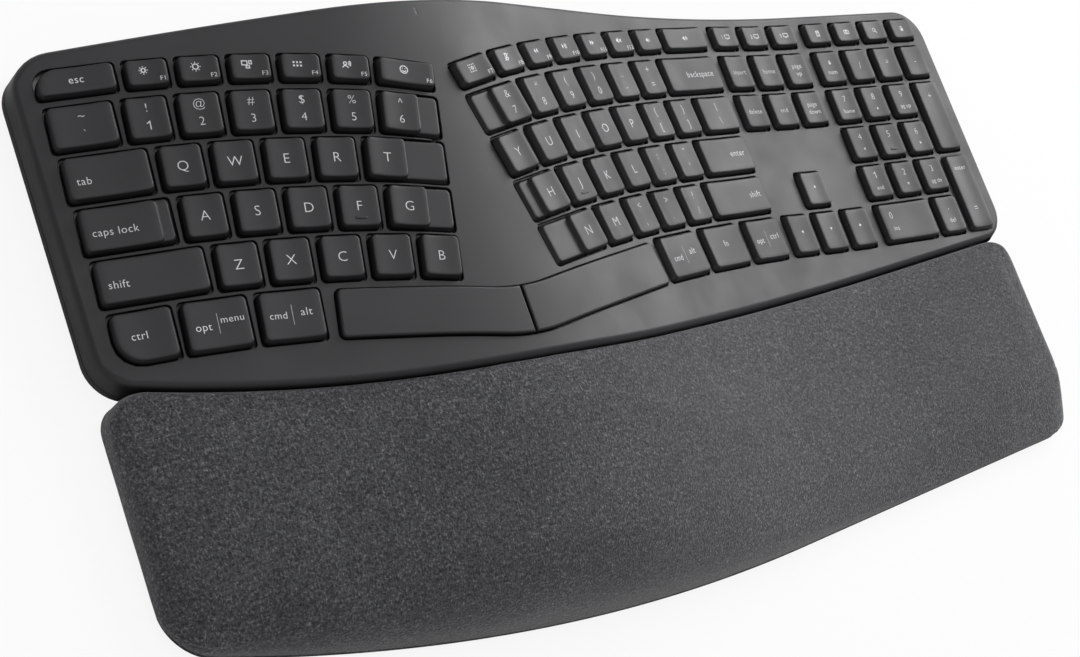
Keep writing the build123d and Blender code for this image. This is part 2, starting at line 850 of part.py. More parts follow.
save(sheet_part(membrane_depth, membrane_depth + membrane_thickness), "membrane_sheet")
save(sheet_part(plate_depth, plate_bottom_depth), "key_plate")

dome_rise = dome_lift - membrane_depth
dome_planes = [key_plane(c.plane.origin.X, c.plane.origin.Y, 0.0, dome_rise) for c in all_caps]
bar_middle_y = bar_back_y - bar_depth / 2
for bar_x in bar_dome_xs:
    bar_y = bar_middle_y + abs(bar_x - crest_x) * math.tan(bar_heading)
    dome_planes.append(key_plane(bar_x, bar_y, 0.0, dome_rise))
with BuildPart() as rubber_domes:
    with BuildSketch(*dome_planes):
        RegularPolygon(dome_base_radius, dome_sides)
    extrude(amount=dome_height, taper=dome_taper)
save(rubber_domes.part, "rubber_domes")

# Bottom cover: a tray with a lip, ribs under the plate, screw bosses, board posts and the battery bay

bay_roof_z = floor_z + door_thickness + cell_gap + 2 * cell_radius + cell_gap + bay_wall
post_x = board_length / 2 - board_post_inset
post_y = board_width / 2 - board_post_inset
board_posts = [(board_x + post_x * i, board_y + post_y * j) for i in (-1, 1) for j in (-1, 1)]
joint_places = [(x, deck_front(x) - seam_gap / 2) for x in joint_xs]
lip_outer = wall + lip_clearance
door_hinge_y = bay_y + bay_width / 2 - door_gap - door_thickness / 2
door_hinge_z = floor_z + door_thickness / 2
lip_inner = lip_outer + lip_wall

with BuildPart() as plate_ribs:
    with BuildSketch(*[Plane.XZ.offset(-rib_y - rib_thickness / 2) for rib_y in rib_ys]):
        make_face(under_bends(plate_bottom_depth + rib_gap, floor_z + wall / 2))
    extrude(amount=rib_thickness)
    with BuildSketch():
        add(inner_outline(lip_inner))
    extrude(amount=deck_crest_z, mode=Mode.INTERSECT)

with BuildPart() as bottom_cover:
    with BuildSketch(Plane.XY.offset(floor_z)):
        add(keyboard_outline())
    extrude(amount=parting_z - floor_z)
    chamfer(bottom_cover.faces().sort_by(Axis.Z)[0].edges(), bottom_edge)
    with BuildSketch(Plane.XY.offset(parting_z)):
        add(inner_outline(lip_outer))
    extrude(amount=lip_height)
    with BuildSketch(Plane.XY.offset(floor_z + wall)):
        add(inner_outline(lip_inner))
    extrude(amount=parting_z + lip_height, mode=Mode.SUBTRACT)
    add(plate_ribs.part)
    with BuildSketch(Plane.XY.offset(floor_z + wall / 2)):
        with Locations(*boss_points):
            RegularPolygon(boss_foot_radius, boss_sides)
    extrude(amount=boss_low_z - fit_gap - floor_z - wall / 2)
    with BuildSketch(Plane.XY.offset(floor_z + wall / 2)):
        with Locations(*board_posts):
            RegularPolygon(board_post_radius, boss_sides)
    extrude(amount=board_z - floor_z - wall / 2)
    with BuildSketch(Plane.XY.offset(floor_z + wall / 2)):
        with Locations(*[(x, y + joint_boss_offset) for x, y in joint_places]):
            RegularPolygon(joint_boss_radius, boss_sides)
    extrude(amount=joint_boss_z - floor_z - wall / 2)
    with Locations((bay_x, bay_y, floor_z)):
        outer_length = bay_length + 2 * bay_wall
        outer_width = bay_width + 2 * bay_wall
        alignment = (Align.CENTER, Align.CENTER, Align.MIN)
        Box(outer_length, outer_width, bay_roof_z - floor_z, align=alignment)
        Box(bay_length, bay_width, bay_roof_z - bay_wall - floor_z, align=alignment, mode=Mode.SUBTRACT)
    for side in (-1, 1):
        with BuildSketch(Plane.YZ.offset(bay_x + side * bay_length / 2)):
            with Locations((door_hinge_y, door_hinge_z)):
                RegularPolygon(door_pin_radius + door_pin_play, bore_sides, major_radius=False)
        extrude(amount=side * door_pin_length, mode=Mode.SUBTRACT)
    with BuildSketch(Plane.XY.offset(floor_z)):
        with Locations(*keyboard_foot_points):
            Rectangle(foot_length + 2 * foot_gap, foot_width + 2 * foot_gap)
    extrude(amount=foot_seat, mode=Mode.SUBTRACT)
    with BuildSketch(Plane.XY.offset(floor_z)):
        with Locations(*joint_places):
            Rectangle(joint_length + 2 * joint_play, joint_width + 2 * joint_play)
    extrude(amount=joint_thickness + fit_gap, mode=Mode.SUBTRACT)
save(bottom_cover.part, "bottom_cover")


def feet(points):
    """Flat rubber strips that the object stands on."""
    with BuildPart() as group:
        with BuildSketch():
            with Locations(*points):
                Rectangle(foot_length, foot_width)
        extrude(amount=floor_z + foot_seat)
    return group.part


save(feet(keyboard_foot_points), "keyboard_feet")
save(feet(palm_foot_points), "palm_rest_feet")

# Battery door, cells and contacts

cell_z = floor_z + door_thickness + cell_gap + cell_radius
cell_ys = (bay_y - bay_width / 4, bay_y + bay_width / 4)
cell_start_x = bay_x - (cell_length + cell_tip_length) / 2

with BuildPart() as battery_door:
    with BuildSketch(Plane.XY.offset(floor_z)):
        with Locations((bay_x, bay_y)):
            Rectangle(bay_length - 2 * door_gap, bay_width - 2 * door_gap)
    extrude(amount=door_thickness)
    with Locations((bay_x, bay_y - bay_width / 2 + 2 * door_grip_width, floor_z)):
        Box(door_grip_length, door_grip_width, 2 * door_grip_depth, mode=Mode.SUBTRACT)
    hinge_edges = battery_door.edges().filter_by(Axis.X).group_by(Axis.Y)[-1]
    chamfer(hinge_edges, door_edge_cut)
    for side in (-1, 1):
        with BuildSketch(Plane.YZ.offset(bay_x + side * (bay_length / 2 - door_gap))):
            with Locations((door_hinge_y, door_hinge_z)):
                Circle(door_pin_radius)
                Rectangle(2 * door_pin_radius, 2 * door_pin_radius * pin_flat_share, mode=Mode.INTERSECT)
        extrude(amount=side * door_pin_length)
save(battery_door.part, "battery_door")

with BuildPart() as batteries:
    for cell_y in cell_ys:
        with BuildSketch(Plane.YZ.offset(cell_start_x)):
            with Locations((cell_y, cell_z)):
                RegularPolygon(cell_radius, cell_sides)
        extrude(amount=cell_length)
        with BuildSketch(Plane.YZ.offset(cell_start_x + cell_length)):
            with Locations((cell_y, cell_z)):
                RegularPolygon(cell_tip_radius, boss_sides)
        extrude(amount=cell_tip_length)
save(batteries.part, "batteries")

with BuildPart() as battery_contacts:
    for side in (-1, 1):
        inner_x = bay_x + side * (bay_length / 2 - contact_inset)
        with Locations((inner_x - side * contact_thickness / 2, bay_y, cell_z)):
            Box(contact_thickness, bay_width - 2 * contact_inset, contact_height)
        for cell_y in cell_ys:
            with BuildSketch(Plane.YZ.offset(inner_x - side * contact_thickness)):
                with Locations((cell_y, cell_z)):
                    RegularPolygon(contact_bump_radius, boss_sides)
            extrude(amount=-side * contact_bump_height)
save(battery_contacts.part, "battery_contacts")

# Circuit board, power switch and status light

board_top_z = board_z + board_thickness
with BuildPart() as circuit_board:
    board_middle_z = board_z + board_thickness / 2
    with Locations((board_x, board_y, board_middle_z)):
        Box(board_length, board_width, board_thickness)
    with Locations((chip_x, board_y, board_top_z + chip_height / 2)):
        Box(chip_size, chip_size, chip_height)
    with Locations((connector_x, connector_y, board_top_z + connector_height / 2)):
        Box(connector_length, connector_width, connector_height)
save(circuit_board.part, "circuit_board")

with BuildPart() as power_switch_body:
    with Locations((switch_x + switch_travel / 2, switch_back_y - switch_width / 2, knob_z)):
        Box(switch_length, switch_width, switch_height)
save(power_switch_body.part, "power_switch_body")

with BuildPart() as power_switch_slider:
    knob_front_y = switch_back_y + fit_gap
    knob_back_y = back_y - knob_sink
    with Locations((switch_x, (knob_front_y + knob_back_y) / 2, knob_z)):
        Box(knob_width, knob_back_y - knob_front_y, knob_height)
    outer_edges = power_switch_slider.faces().sort_by(Axis.Y)[-1].edges()
    chamfer(outer_edges, knob_play)
save(power_switch_slider.part, "power_switch_slider")

with BuildPart() as status_light:
    with Locations((light_x, light_y, light_top_z - light_gap - light_height / 2)):
        Box(light_width, light_length, light_height)
save(status_light.part, "status_light")

# Palm rest: cloth over foam over a hollow frame, closed by a base plate

palm_station_shares = (-1.0, -0.978, -0.934, -0.8, -0.66, -0.55, -0.456, -0.395, -0.338, -0.276, -0.2)
palm_station_shares += (-0.13, 0.0, 0.08, 0.24, 0.42, 0.66, 0.934, 0.978, 1.0)


def palm_edges(x, inset):
    """Where a section of the palm rest starts and ends, and how much of its crown it keeps."""
    reach = half_width - inset
    corner = corner_radius - inset
    into_corner = min(max(corner - (reach - abs(x)), 0), corner)
    tuck = corner - math.sqrt(corner**2 - into_corner**2)
    end_round = palm_end_round - inset
    into_end = min(max(end_round - (reach - abs(x)), 0), end_round)
    crown_share = math.sqrt(1 - (into_end / end_round) ** 2)
    return palm_back(x, inset) - tuck, palm_front(x, inset) + tuck, crown_share


def palm_section(x, inset, low_z):
    """Corners of the section across the palm rest at x."""
    back, front, crown_share = palm_edges(x, inset)
    height_share = min(max((deck_at(x)[0] - deck_flat_z) / (deck_crest_z - deck_flat_z), 0), 1)
    least_top = palm_nose_z * 2 - inset / 2
    top = least_top + (deck_at(x)[0] - palm_sink - inset - least_top) * crown_share
    fall = palm_fall_low + (palm_fall_high - palm_fall_low) * height_share
    fall *= max(crown_share, least_fall_share)
    drop = top - fall - palm_nose_z
    roll = palm_roll_low + (palm_roll_high - palm_roll_low) * height_share - inset
    roll = min(roll, drop * longest_roll_share)
    gentle_run = math.cos(palm_gentle)
    gentle_drop = math.sin(palm_gentle)
    steep_run = sum(math.cos(angle) for angle in palm_steeps)
    steep_drop = sum(math.sin(angle) for angle in palm_steeps)
    span = gentle_run * steep_drop - steep_run * gentle_drop
    gentle = (steep_drop * roll - steep_run * drop) / span
    steep = (gentle_run * drop - gentle_drop * roll) / span
    round_size = max(palm_back_round - inset, cloth_thickness)
    y = front + roll + fall / math.tan(palm_crown_fall)
    points = [(back, low_z), (back, top - round_size), (back - round_size, top), (y, top)]
    runs = [(palm_crown_fall, fall / math.sin(palm_crown_fall)), (palm_gentle, gentle)]
    runs += [(angle, steep) for angle in palm_steeps]
    for angle, length in runs:
        last = points[-1]
        points.append((last[0] - length * math.cos(angle), last[1] - length * math.sin(angle)))
    points.append((front, low_z))
    return [Vector(x, y, z) for y, z in points]


def palm_solid(inset, low_z):
    """The palm rest's cushion shape in flat faces, drawn in by inset on its top and all sides."""
    sections = [palm_section(share * (half_width - inset), inset, low_z) for share in palm_station_shares]
    faces = [Face(Wire.make_polygon(sections[0])), Face(Wire.make_polygon(sections[-1]))]
    for first, second in zip(sections, sections[1:]):
        for corner in range(len(first)):
            after = (corner + 1) % len(first)
            faces.append(Face(Wire.make_polygon([first[corner], first[after], second[after]])))
            faces.append(Face(Wire.make_polygon([first[corner], second[after], second[corner]])))
    with BuildPart() as solid:
        add(Solid(Shell(faces)))
    return solid.part


def palm_plan(inset):
    """Plan of the palm rest, drawn in by inset, through the same stations."""
    xs = [share * (half_width - inset) for share in palm_station_shares]
    points = [(x, palm_edges(x, inset)[1]) for x in xs]
    points += [(x, palm_edges(x, inset)[0]) for x in reversed(xs)]
    with BuildSketch() as plan:
        make_face(closed_lines(points))
    return plan.sketch


base_top_z = floor_z + palm_base_thickness
foam_outer = cloth_thickness + layer_gap
frame_outer = foam_outer + foam_thickness + layer_gap
frame_inner = frame_outer + frame_wall
filling_low_z = base_top_z + layer_gap

with BuildPart() as palm_rest_fabric:
    add(palm_solid(0.0, palm_low_z))
    add(palm_solid(cloth_thickness, palm_low_z - overrun), mode=Mode.SUBTRACT)
save(palm_rest_fabric.part, "palm_rest_fabric")

with BuildPart() as palm_rest_foam:
    add(palm_solid(foam_outer, filling_low_z))
    add(palm_solid(frame_outer - layer_gap, filling_low_z - overrun), mode=Mode.SUBTRACT)
save(palm_rest_foam.part, "palm_rest_foam")

with BuildPart() as palm_columns:
    with BuildSketch(Plane.XY.offset(filling_low_z)):
        with Locations(*palm_boss_points):
            RegularPolygon(palm_boss_radius, boss_sides)
    extrude(amount=deck_crest_z)
    add(palm_solid(frame_outer, filling_low_z), mode=Mode.INTERSECT)

with BuildPart() as palm_rest_frame:
    add(palm_solid(frame_outer, filling_low_z))
    add(palm_solid(frame_inner, filling_low_z - overrun), mode=Mode.SUBTRACT)
    add(palm_columns.part)
save(palm_rest_frame.part, "palm_rest_frame")

# Tilt legs and the pockets in the palm rest's base plate that hold them

leg_places = {
    "left_long_leg": (left_long_leg_x, long_leg_length),
    "left_short_leg": (left_short_leg_x, short_leg_length),
    "right_short_leg": (right_short_leg_x, short_leg_length),
    "right_long_leg": (right_long_leg_x, long_leg_length),
}
leg_middle_z = floor_z + leg_play + leg_thickness / 2
pocket_top_z = floor_z + leg_thickness + 2 * leg_play
pocket_front_y = leg_pin_y - leg_thickness / 2 - leg_swing_gap

with BuildPart() as palm_rest_base:
    with BuildSketch(Plane.XY.offset(floor_z)):
        add(palm_plan(foam_outer))
    extrude(amount=palm_base_thickness)
    for leg_x, leg_length in leg_places.values():
        pocket_width = leg_width + 2 * leg_side_gap
        pocket_length = leg_pin_y + leg_length + leg_finger_gap - pocket_front_y
        pocket_y = pocket_front_y + pocket_length / 2
        with BuildSketch(Plane.XY.offset(floor_z + palm_base_thickness / 2)):
            with Locations((leg_x, pocket_y)):
                Rectangle(pocket_width + 2 * leg_side_wall, pocket_length + 2 * frame_wall)
        extrude(amount=pocket_top_z + leg_roof - floor_z - palm_base_thickness / 2)
        with BuildSketch(Plane.XY.offset(floor_z)):
            with Locations((leg_x, pocket_y)):
                Rectangle(pocket_width, pocket_length)
        extrude(amount=pocket_top_z - floor_z, mode=Mode.SUBTRACT)
        for side in (-1, 1):
            with BuildSketch(Plane.YZ.offset(leg_x + side * pocket_width / 2)):
                with Locations((leg_pin_y, leg_middle_z)):
                    RegularPolygon(leg_pin_radius + leg_pin_play, bore_sides, major_radius=False)
            extrude(amount=side * leg_pin_length, mode=Mode.SUBTRACT)
    with BuildSketch(Plane.XY.offset(floor_z + palm_base_thickness / 2)):
        with Locations(*[(x, y - joint_boss_offset) for x, y in joint_places]):
            RegularPolygon(joint_boss_radius, boss_sides)
    extrude(amount=joint_boss_z - floor_z - palm_base_thickness / 2)
    with BuildSketch(Plane.XY.offset(floor_z)):
        with Locations(*joint_places):
            Rectangle(joint_length + 2 * joint_play, joint_width + 2 * joint_play)
    extrude(amount=joint_thickness + fit_gap, mode=Mode.SUBTRACT)
    with BuildSketch(Plane.XY.offset(floor_z)):
        with Locations(*palm_foot_points):
            Rectangle(foot_length + 2 * foot_gap, foot_width + 2 * foot_gap)
    extrude(amount=foot_seat, mode=Mode.SUBTRACT)
save(palm_rest_base.part, "palm_rest_base")

for leg_name, (leg_x, leg_length) in leg_places.items():
    with BuildPart() as leg:
        half_thickness = leg_thickness / 2
        tip_y = leg_pin_y + leg_length
        butt_y = leg_pin_y - half_thickness
        with BuildSketch(Plane.YZ.offset(leg_x - leg_width / 2)):
            with Locations(((tip_y + butt_y) / 2, leg_middle_z)):
                Rectangle(tip_y - butt_y, leg_thickness)
        extrude(amount=leg_width)
        butt_edges = leg.edges().filter_by(Axis.X).group_by(Axis.Y)[0]
        chamfer(butt_edges, leg_butt_cut)
        tip_corners = leg.edges().filter_by(Axis.Z).group_by(Axis.Y)[-1]
        chamfer(tip_corners, leg_tip_corner)
        for side in (-1, 1):
            with BuildSketch(Plane.YZ.offset(leg_x + side * leg_width / 2)):
                with Locations((leg_pin_y, leg_middle_z)):
                    Circle(leg_pin_radius)
                    Rectangle(2 * leg_pin_radius, 2 * leg_pin_radius * pin_flat_share, mode=Mode.INTERSECT)
            extrude(amount=side * leg_pin_length)
    save(leg.part, leg_name)

# Steel plates that join the palm rest to the keyboard

with BuildPart() as joining_plates:
    with BuildSketch(Plane.XY.offset(floor_z)):
        with Locations(*joint_places):
            Rectangle(joint_length, joint_width)
    extrude(amount=joint_thickness)
save(joining_plates.part, "joining_plates")
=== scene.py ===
# %% [markdown]
# An ergonomic split keyboard: a deck shaped like a wave, 108 key caps, two space bars and a palm
# rest under knitted cloth. Each step below takes one piece or one finish of it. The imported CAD
# model is the frame: it fixes sizes, places and joints. The pieces made here are finer than the
# CAD's, stand in the same places and ride on the same bodies, so that they move with the joints.

# %% Load the frame
import math
import bpy
import bmesh
from mathutils import Matrix, Vector, geometry
from mathutils.kdtree import KDTree


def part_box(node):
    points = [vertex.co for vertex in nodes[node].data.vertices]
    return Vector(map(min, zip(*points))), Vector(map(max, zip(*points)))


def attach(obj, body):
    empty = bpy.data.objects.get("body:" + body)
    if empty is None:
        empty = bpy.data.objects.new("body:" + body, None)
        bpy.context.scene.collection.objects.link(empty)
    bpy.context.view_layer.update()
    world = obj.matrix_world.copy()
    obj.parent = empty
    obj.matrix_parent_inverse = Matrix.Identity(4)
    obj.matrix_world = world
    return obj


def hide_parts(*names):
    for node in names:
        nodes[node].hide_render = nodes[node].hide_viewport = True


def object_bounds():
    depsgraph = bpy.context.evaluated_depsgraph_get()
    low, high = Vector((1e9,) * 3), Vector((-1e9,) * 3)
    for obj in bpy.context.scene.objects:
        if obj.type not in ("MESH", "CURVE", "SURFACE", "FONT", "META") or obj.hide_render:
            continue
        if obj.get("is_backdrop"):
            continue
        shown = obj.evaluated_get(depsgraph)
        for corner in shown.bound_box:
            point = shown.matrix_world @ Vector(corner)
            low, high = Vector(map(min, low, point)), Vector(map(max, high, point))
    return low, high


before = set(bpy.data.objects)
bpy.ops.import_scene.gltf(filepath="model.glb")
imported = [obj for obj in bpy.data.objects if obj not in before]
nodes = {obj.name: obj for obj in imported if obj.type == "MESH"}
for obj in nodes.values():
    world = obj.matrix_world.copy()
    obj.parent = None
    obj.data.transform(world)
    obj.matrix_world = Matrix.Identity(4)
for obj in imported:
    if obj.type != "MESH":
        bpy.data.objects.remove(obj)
first_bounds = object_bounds()
MM = 0.001
BODY = "keyboard_body"
print("frame nodes:", len(nodes), "bounds:", first_bounds)

# %% [markdown]
# The wave. On the real keyboard the deck rises from the left edge to a crest between the two hands
# and runs down a ramp to a flat field with the number pad. It could be sculpted, or bent by a
# lattice. Here it is a curve of tangent arcs and straights, as a mould maker would cut it: one
# function of x then serves the deck, the openings, the space bars and the cushion. Sizes are
# millimetres, as in the CAD source.

# %% Sizes of the wave
BODY_WIDTH = 456.0
BACK_Y = 116.5
CORNER = 15.0
CREST_X = -77.0
CREST_Z = 45.2
CREST_R = 208.0
LEFT_Z = 14.4
FLAT_Z = 15.2
DISH_R = 600.0
RAMP_SLOPE = math.radians(12.4)
HALF = BODY_WIDTH / 2
print("deck:", BODY_WIDTH, "mm wide, crest", CREST_Z, "mm high at x", CREST_X)

# %% [markdown]
# The flank left of the crest is worked out: its arc starts where the crest's arc has the slope of
# the straight line to the left edge, and it ends at the left edge's height. The ramp on the right
# is a straight tangent to the crest's arc, and a wide hollow arc, the dish, brings it level.

# %% Arcs of the wave
CREST_CZ = CREST_Z - CREST_R
LEFT_SLOPE = math.atan((CREST_Z - LEFT_Z) / (CREST_X + HALF))
LEFT_T = CREST_X - CREST_R * math.sin(LEFT_SLOPE)
FLANK_RUN = LEFT_T + HALF
FLANK_DROP = CREST_CZ + CREST_R * math.cos(LEFT_SLOPE) - LEFT_Z
FLANK_SAG = FLANK_DROP * math.cos(LEFT_SLOPE) - FLANK_RUN * math.sin(LEFT_SLOPE)
FLANK_R = (FLANK_RUN**2 + FLANK_DROP**2) / (2 * FLANK_SAG)
FLANK_X = CREST_X + (FLANK_R - CREST_R) * math.sin(LEFT_SLOPE)
FLANK_CZ = CREST_CZ - (FLANK_R - CREST_R) * math.cos(LEFT_SLOPE)
RIGHT_T = CREST_X + CREST_R * math.sin(RAMP_SLOPE)
ARC_DROP = (CREST_R + DISH_R) * (1 - math.cos(RAMP_SLOPE))
DISH_X = RIGHT_T + (CREST_Z - FLAT_Z - ARC_DROP) / math.tan(RAMP_SLOPE)
FLAT_X = DISH_X + DISH_R * math.sin(RAMP_SLOPE)
print("flank radius:", round(FLANK_R, 1), "ramp from x", round(RIGHT_T, 1), "to", round(DISH_X, 1))

# %% Height of the deck
def deck_z(x):
    """Height of the deck at x."""
    if x < LEFT_T:
        return FLANK_CZ + math.sqrt(FLANK_R**2 - (x - FLANK_X) ** 2)
    if x < RIGHT_T:
        return CREST_CZ + math.sqrt(CREST_R**2 - (x - CREST_X) ** 2)
    if x < DISH_X:
        return CREST_CZ + CREST_R * math.cos(RAMP_SLOPE) - (x - RIGHT_T) * math.tan(RAMP_SLOPE)
    if x < FLAT_X:
        return FLAT_Z + DISH_R - math.sqrt(DISH_R**2 - (FLAT_X - x) ** 2)
    return FLAT_Z


print("deck heights:", [round(deck_z(x), 2) for x in (-HALF, CREST_X, 0, FLAT_X, HALF)])

# %% [markdown]
# The front edges of the keyboard and of the palm rest are bowed. A spline through marked points
# would follow the photograph too, but it wobbles between them. Two arcs that touch at their lowest
# point and a straight tangent at the right have no wobble, and an inset moves the whole edge
# inwards evenly.

# %% Bowed front edges
DECK_FRONT_Y = -27.0
DECK_LEFT_R = 480.0
DECK_RIGHT_R = 730.0
DECK_RUN = 73.0
PALM_BOW_X = -36.0
PALM_FRONT_Y = -116.5
PALM_LEFT_R = 760.0
PALM_RIGHT_R = 800.0
PALM_RUN = 84.0


def bow_y(x, vertex_x, vertex_y, left_r, right_r, run):
    """A bowed front edge: an arc, another arc, then its tangent."""
    offset = x - vertex_x
    if offset < 0:
        return vertex_y + left_r - math.sqrt(left_r**2 - offset**2)
    if offset < run:
        return vertex_y + right_r - math.sqrt(right_r**2 - offset**2)
    rise = math.sqrt(right_r**2 - run**2)
    return vertex_y + right_r - rise + (offset - run) * run / rise


def deck_front(x, inset=0.0):
    """Front edge of the keyboard."""
    return bow_y(x, CREST_X, DECK_FRONT_Y + inset, DECK_LEFT_R - inset, DECK_RIGHT_R - inset, DECK_RUN)


def palm_front(x, inset=0.0):
    """Front edge of the palm rest."""
    return bow_y(x, PALM_BOW_X, PALM_FRONT_Y + inset, PALM_LEFT_R - inset, PALM_RIGHT_R - inset, PALM_RUN)


print("front edges at the right end:", round(deck_front(HALF), 1), round(palm_front(HALF), 1))

# %% [markdown]
# The camera. The photograph was taken from the left, above the palm rest, with a long lens. A
# camera could be turned by eye until the picture fits. This one was fitted: about 360 corners of
# key caps were marked in the photograph, and a pinhole camera was solved for them at the standard
# key pitch, to within two pixels on average. The fit gives a place, three axes and a focal length,
# which are set as they are.

# %% Camera
CAMERA_AT = Vector((-0.5116645, -0.1808336, 0.5923072))
RIGHT = Vector((0.7830333, -0.3297002, 0.5274049))
DOWN = Vector((-0.1310627, -0.9163781, -0.3782632))
FORWARD = Vector((0.6080157, 0.2270626, -0.7607620))
SENSOR_WIDTH = 36.0
FOCAL_PIXELS = 2020.8
PHOTO_WIDTH = 1080
camera_data = bpy.data.cameras.new("camera")
camera_data.sensor_width = SENSOR_WIDTH
camera_data.lens = SENSOR_WIDTH * FOCAL_PIXELS / PHOTO_WIDTH
camera_data.clip_start = 0.05
camera_data.clip_end = 30.0
camera = bpy.data.objects.new("camera", camera_data)
columns = (RIGHT.normalized(), -DOWN.normalized(), -FORWARD.normalized())
turn = Matrix([[column[row] for column in columns] for row in range(3)]).to_quaternion()
camera.matrix_world = Matrix.Translation(CAMERA_AT) @ turn.to_matrix().to_4x4()
bpy.context.scene.collection.objects.link(camera)
bpy.context.scene.camera = camera
print("camera lens:", round(camera_data.lens, 2), "mm")

# %% [markdown]
# Meshes. Caps, rims and bars follow formulas that no primitive has, so most pieces are meshes made
# from lists of points. These helpers take millimetres and write Blender's metres. Smooth shading
# alone would blur the real creases of moulded plastic, so every edge that turns by more than an
# angle is marked sharp.

# %% Meshes from points
def mark_sharp(mesh, angle):
    """Edges sharper than the angle keep a crisp crease."""
    work = bmesh.new()
    work.from_mesh(mesh)
    limit = math.radians(angle)
    for edge in work.edges:
        edge.smooth = len(edge.link_faces) == 2 and edge.calc_face_angle(0.0) < limit
    work.to_mesh(mesh)
    work.free()


def link(name, mesh, material=None, smooth=True, angle=32.0):
    """A new object from a mesh, shaded smooth with sharp edges kept."""
    piece = bpy.data.objects.new(name, mesh)
    bpy.context.scene.collection.objects.link(piece)
    if material:
        mesh.materials.clear()
        mesh.materials.append(material)
    if smooth:
        for polygon in mesh.polygons:
            polygon.use_smooth = True
        mark_sharp(mesh, angle)
    return piece


def mesh_from(name, vertices, faces):
    """A mesh from millimetre points."""
    mesh = bpy.data.meshes.new(name)
    mesh.from_pydata([(x * MM, y * MM, z * MM) for x, y, z in vertices], [], faces)
    mesh.validate()
    mesh.update()
    return mesh


print("mesh helpers: one unit is", MM, "m")

# %% [markdown]
# A lathe or an extrusion in a workshop adds one section to the next. The same thought makes these
# meshes: rings of points are collected one after the other and bridged with quads, and the end
# rings are closed.

# %% Rings of points
class Build:
    """Collects points and faces of one piece, in millimetres."""

    def __init__(self):
        self.points = []
        self.faces = []

    def ring(self, points):
        start = len(self.points)
        self.points.extend(points)
        return list(range(start, start + len(points)))

    def bridge(self, low, high):
        count = len(low)
        for i in range(count):
            j = (i + 1) % count
            self.faces.append((low[i], low[j], high[j], high[i]))

    def cap_off(self, ring, upward=True):
        self.faces.append(tuple(ring) if upward else tuple(reversed(ring)))

    def mesh(self, name):
        return mesh_from(name, self.points, self.faces)


def block(x0, y0, x1, y1):
    """Corners of a rectangle."""
    return [(x0, y0), (x1, y0), (x1, y1), (x0, y1)]


print("a block's corners:", block(0, 0, 2, 1))

# %% [markdown]
# Finishes. Every material is built from shader nodes, because a procedural finish has no picture to
# stretch or tile. The grain is laid out in the object's own coordinates, in metres, so that it
# rides with the piece. The next cells make the handful of nodes that all the finishes share.

# %% New material and noise
def new_material(name):
    """An empty node material with its shader and output."""
    material = bpy.data.materials.new(name)
    material.use_nodes = True
    tree = material.node_tree
    tree.nodes.clear()
    output = tree.nodes.new("ShaderNodeOutputMaterial")
    shader = tree.nodes.new("ShaderNodeBsdfPrincipled")
    tree.links.new(shader.outputs["BSDF"], output.inputs["Surface"])
    place = tree.nodes.new("ShaderNodeTexCoord")
    return material, tree, shader, place.outputs["Object"]


def noise_node(tree, place, scale, detail=3.0, roughness=0.55, stretch=None):
    """A noise texture, its scale in features per metre."""
    source = place
    if stretch:
        mapping = tree.nodes.new("ShaderNodeMapping")
        mapping.inputs["Scale"].default_value = stretch
        tree.links.new(place, mapping.inputs["Vector"])
        source = mapping.outputs["Vector"]
    texture = tree.nodes.new("ShaderNodeTexNoise")
    texture.inputs["Scale"].default_value = scale
    texture.inputs["Detail"].default_value = detail
    texture.inputs["Roughness"].default_value = roughness
    tree.links.new(source, texture.inputs["Vector"])
    return texture.outputs["Fac"]


print("shader helpers: material and noise")

# %% Ramps, ranges and bumps
def ramp_node(tree, source, stops):
    """A colour ramp with (position, colour) stops."""
    ramp = tree.nodes.new("ShaderNodeValToRGB")
    elements = ramp.color_ramp.elements
    while len(elements) < len(stops):
        elements.new(0.5)
    for element, (position, colour) in zip(elements, stops):
        element.position = position
        element.color = (*colour, 1.0)
    tree.links.new(source, ramp.inputs["Fac"])
    return ramp.outputs["Color"]


def range_node(tree, source, low, high, to_low, to_high):
    """A value mapped from one range to another."""
    node = tree.nodes.new("ShaderNodeMapRange")
    node.inputs["From Min"].default_value = low
    node.inputs["From Max"].default_value = high
    node.inputs["To Min"].default_value = to_low
    node.inputs["To Max"].default_value = to_high
    tree.links.new(source, node.inputs["Value"])
    return node.outputs["Result"]


def bump_node(tree, source, strength, distance, before=None):
    """A bump from a height, on top of another normal if given."""
    bump = tree.nodes.new("ShaderNodeBump")
    bump.inputs["Strength"].default_value = strength
    bump.inputs["Distance"].default_value = distance
    tree.links.new(source, bump.inputs["Height"])
    if before:
        tree.links.new(before, bump.inputs["Normal"])
    return bump.outputs["Normal"]


print("shader helpers: ramp, range and bump")

# %% Mixing colours
def mix_node(tree, factor, one, two, blend="MIX"):
    """Two colours mixed. The factor is a value or a socket."""
    mix = tree.nodes.new("ShaderNodeMix")
    mix.data_type = "RGBA"
    mix.blend_type = blend
    for socket, value in ((mix.inputs[0], factor), (mix.inputs[6], one), (mix.inputs[7], two)):
        if isinstance(value, (int, float)):
            socket.default_value = value
        elif isinstance(value, tuple):
            socket.default_value = (*value, 1.0)
        else:
            tree.links.new(value, socket)
    return mix.outputs[2]


def grey(tree, value):
    """A value as a grey colour."""
    combine = tree.nodes.new("ShaderNodeCombineColor")
    for channel in ("Red", "Green", "Blue"):
        tree.links.new(value, combine.inputs[channel])
    return combine.outputs["Color"]


print("shader helpers: mix and grey")
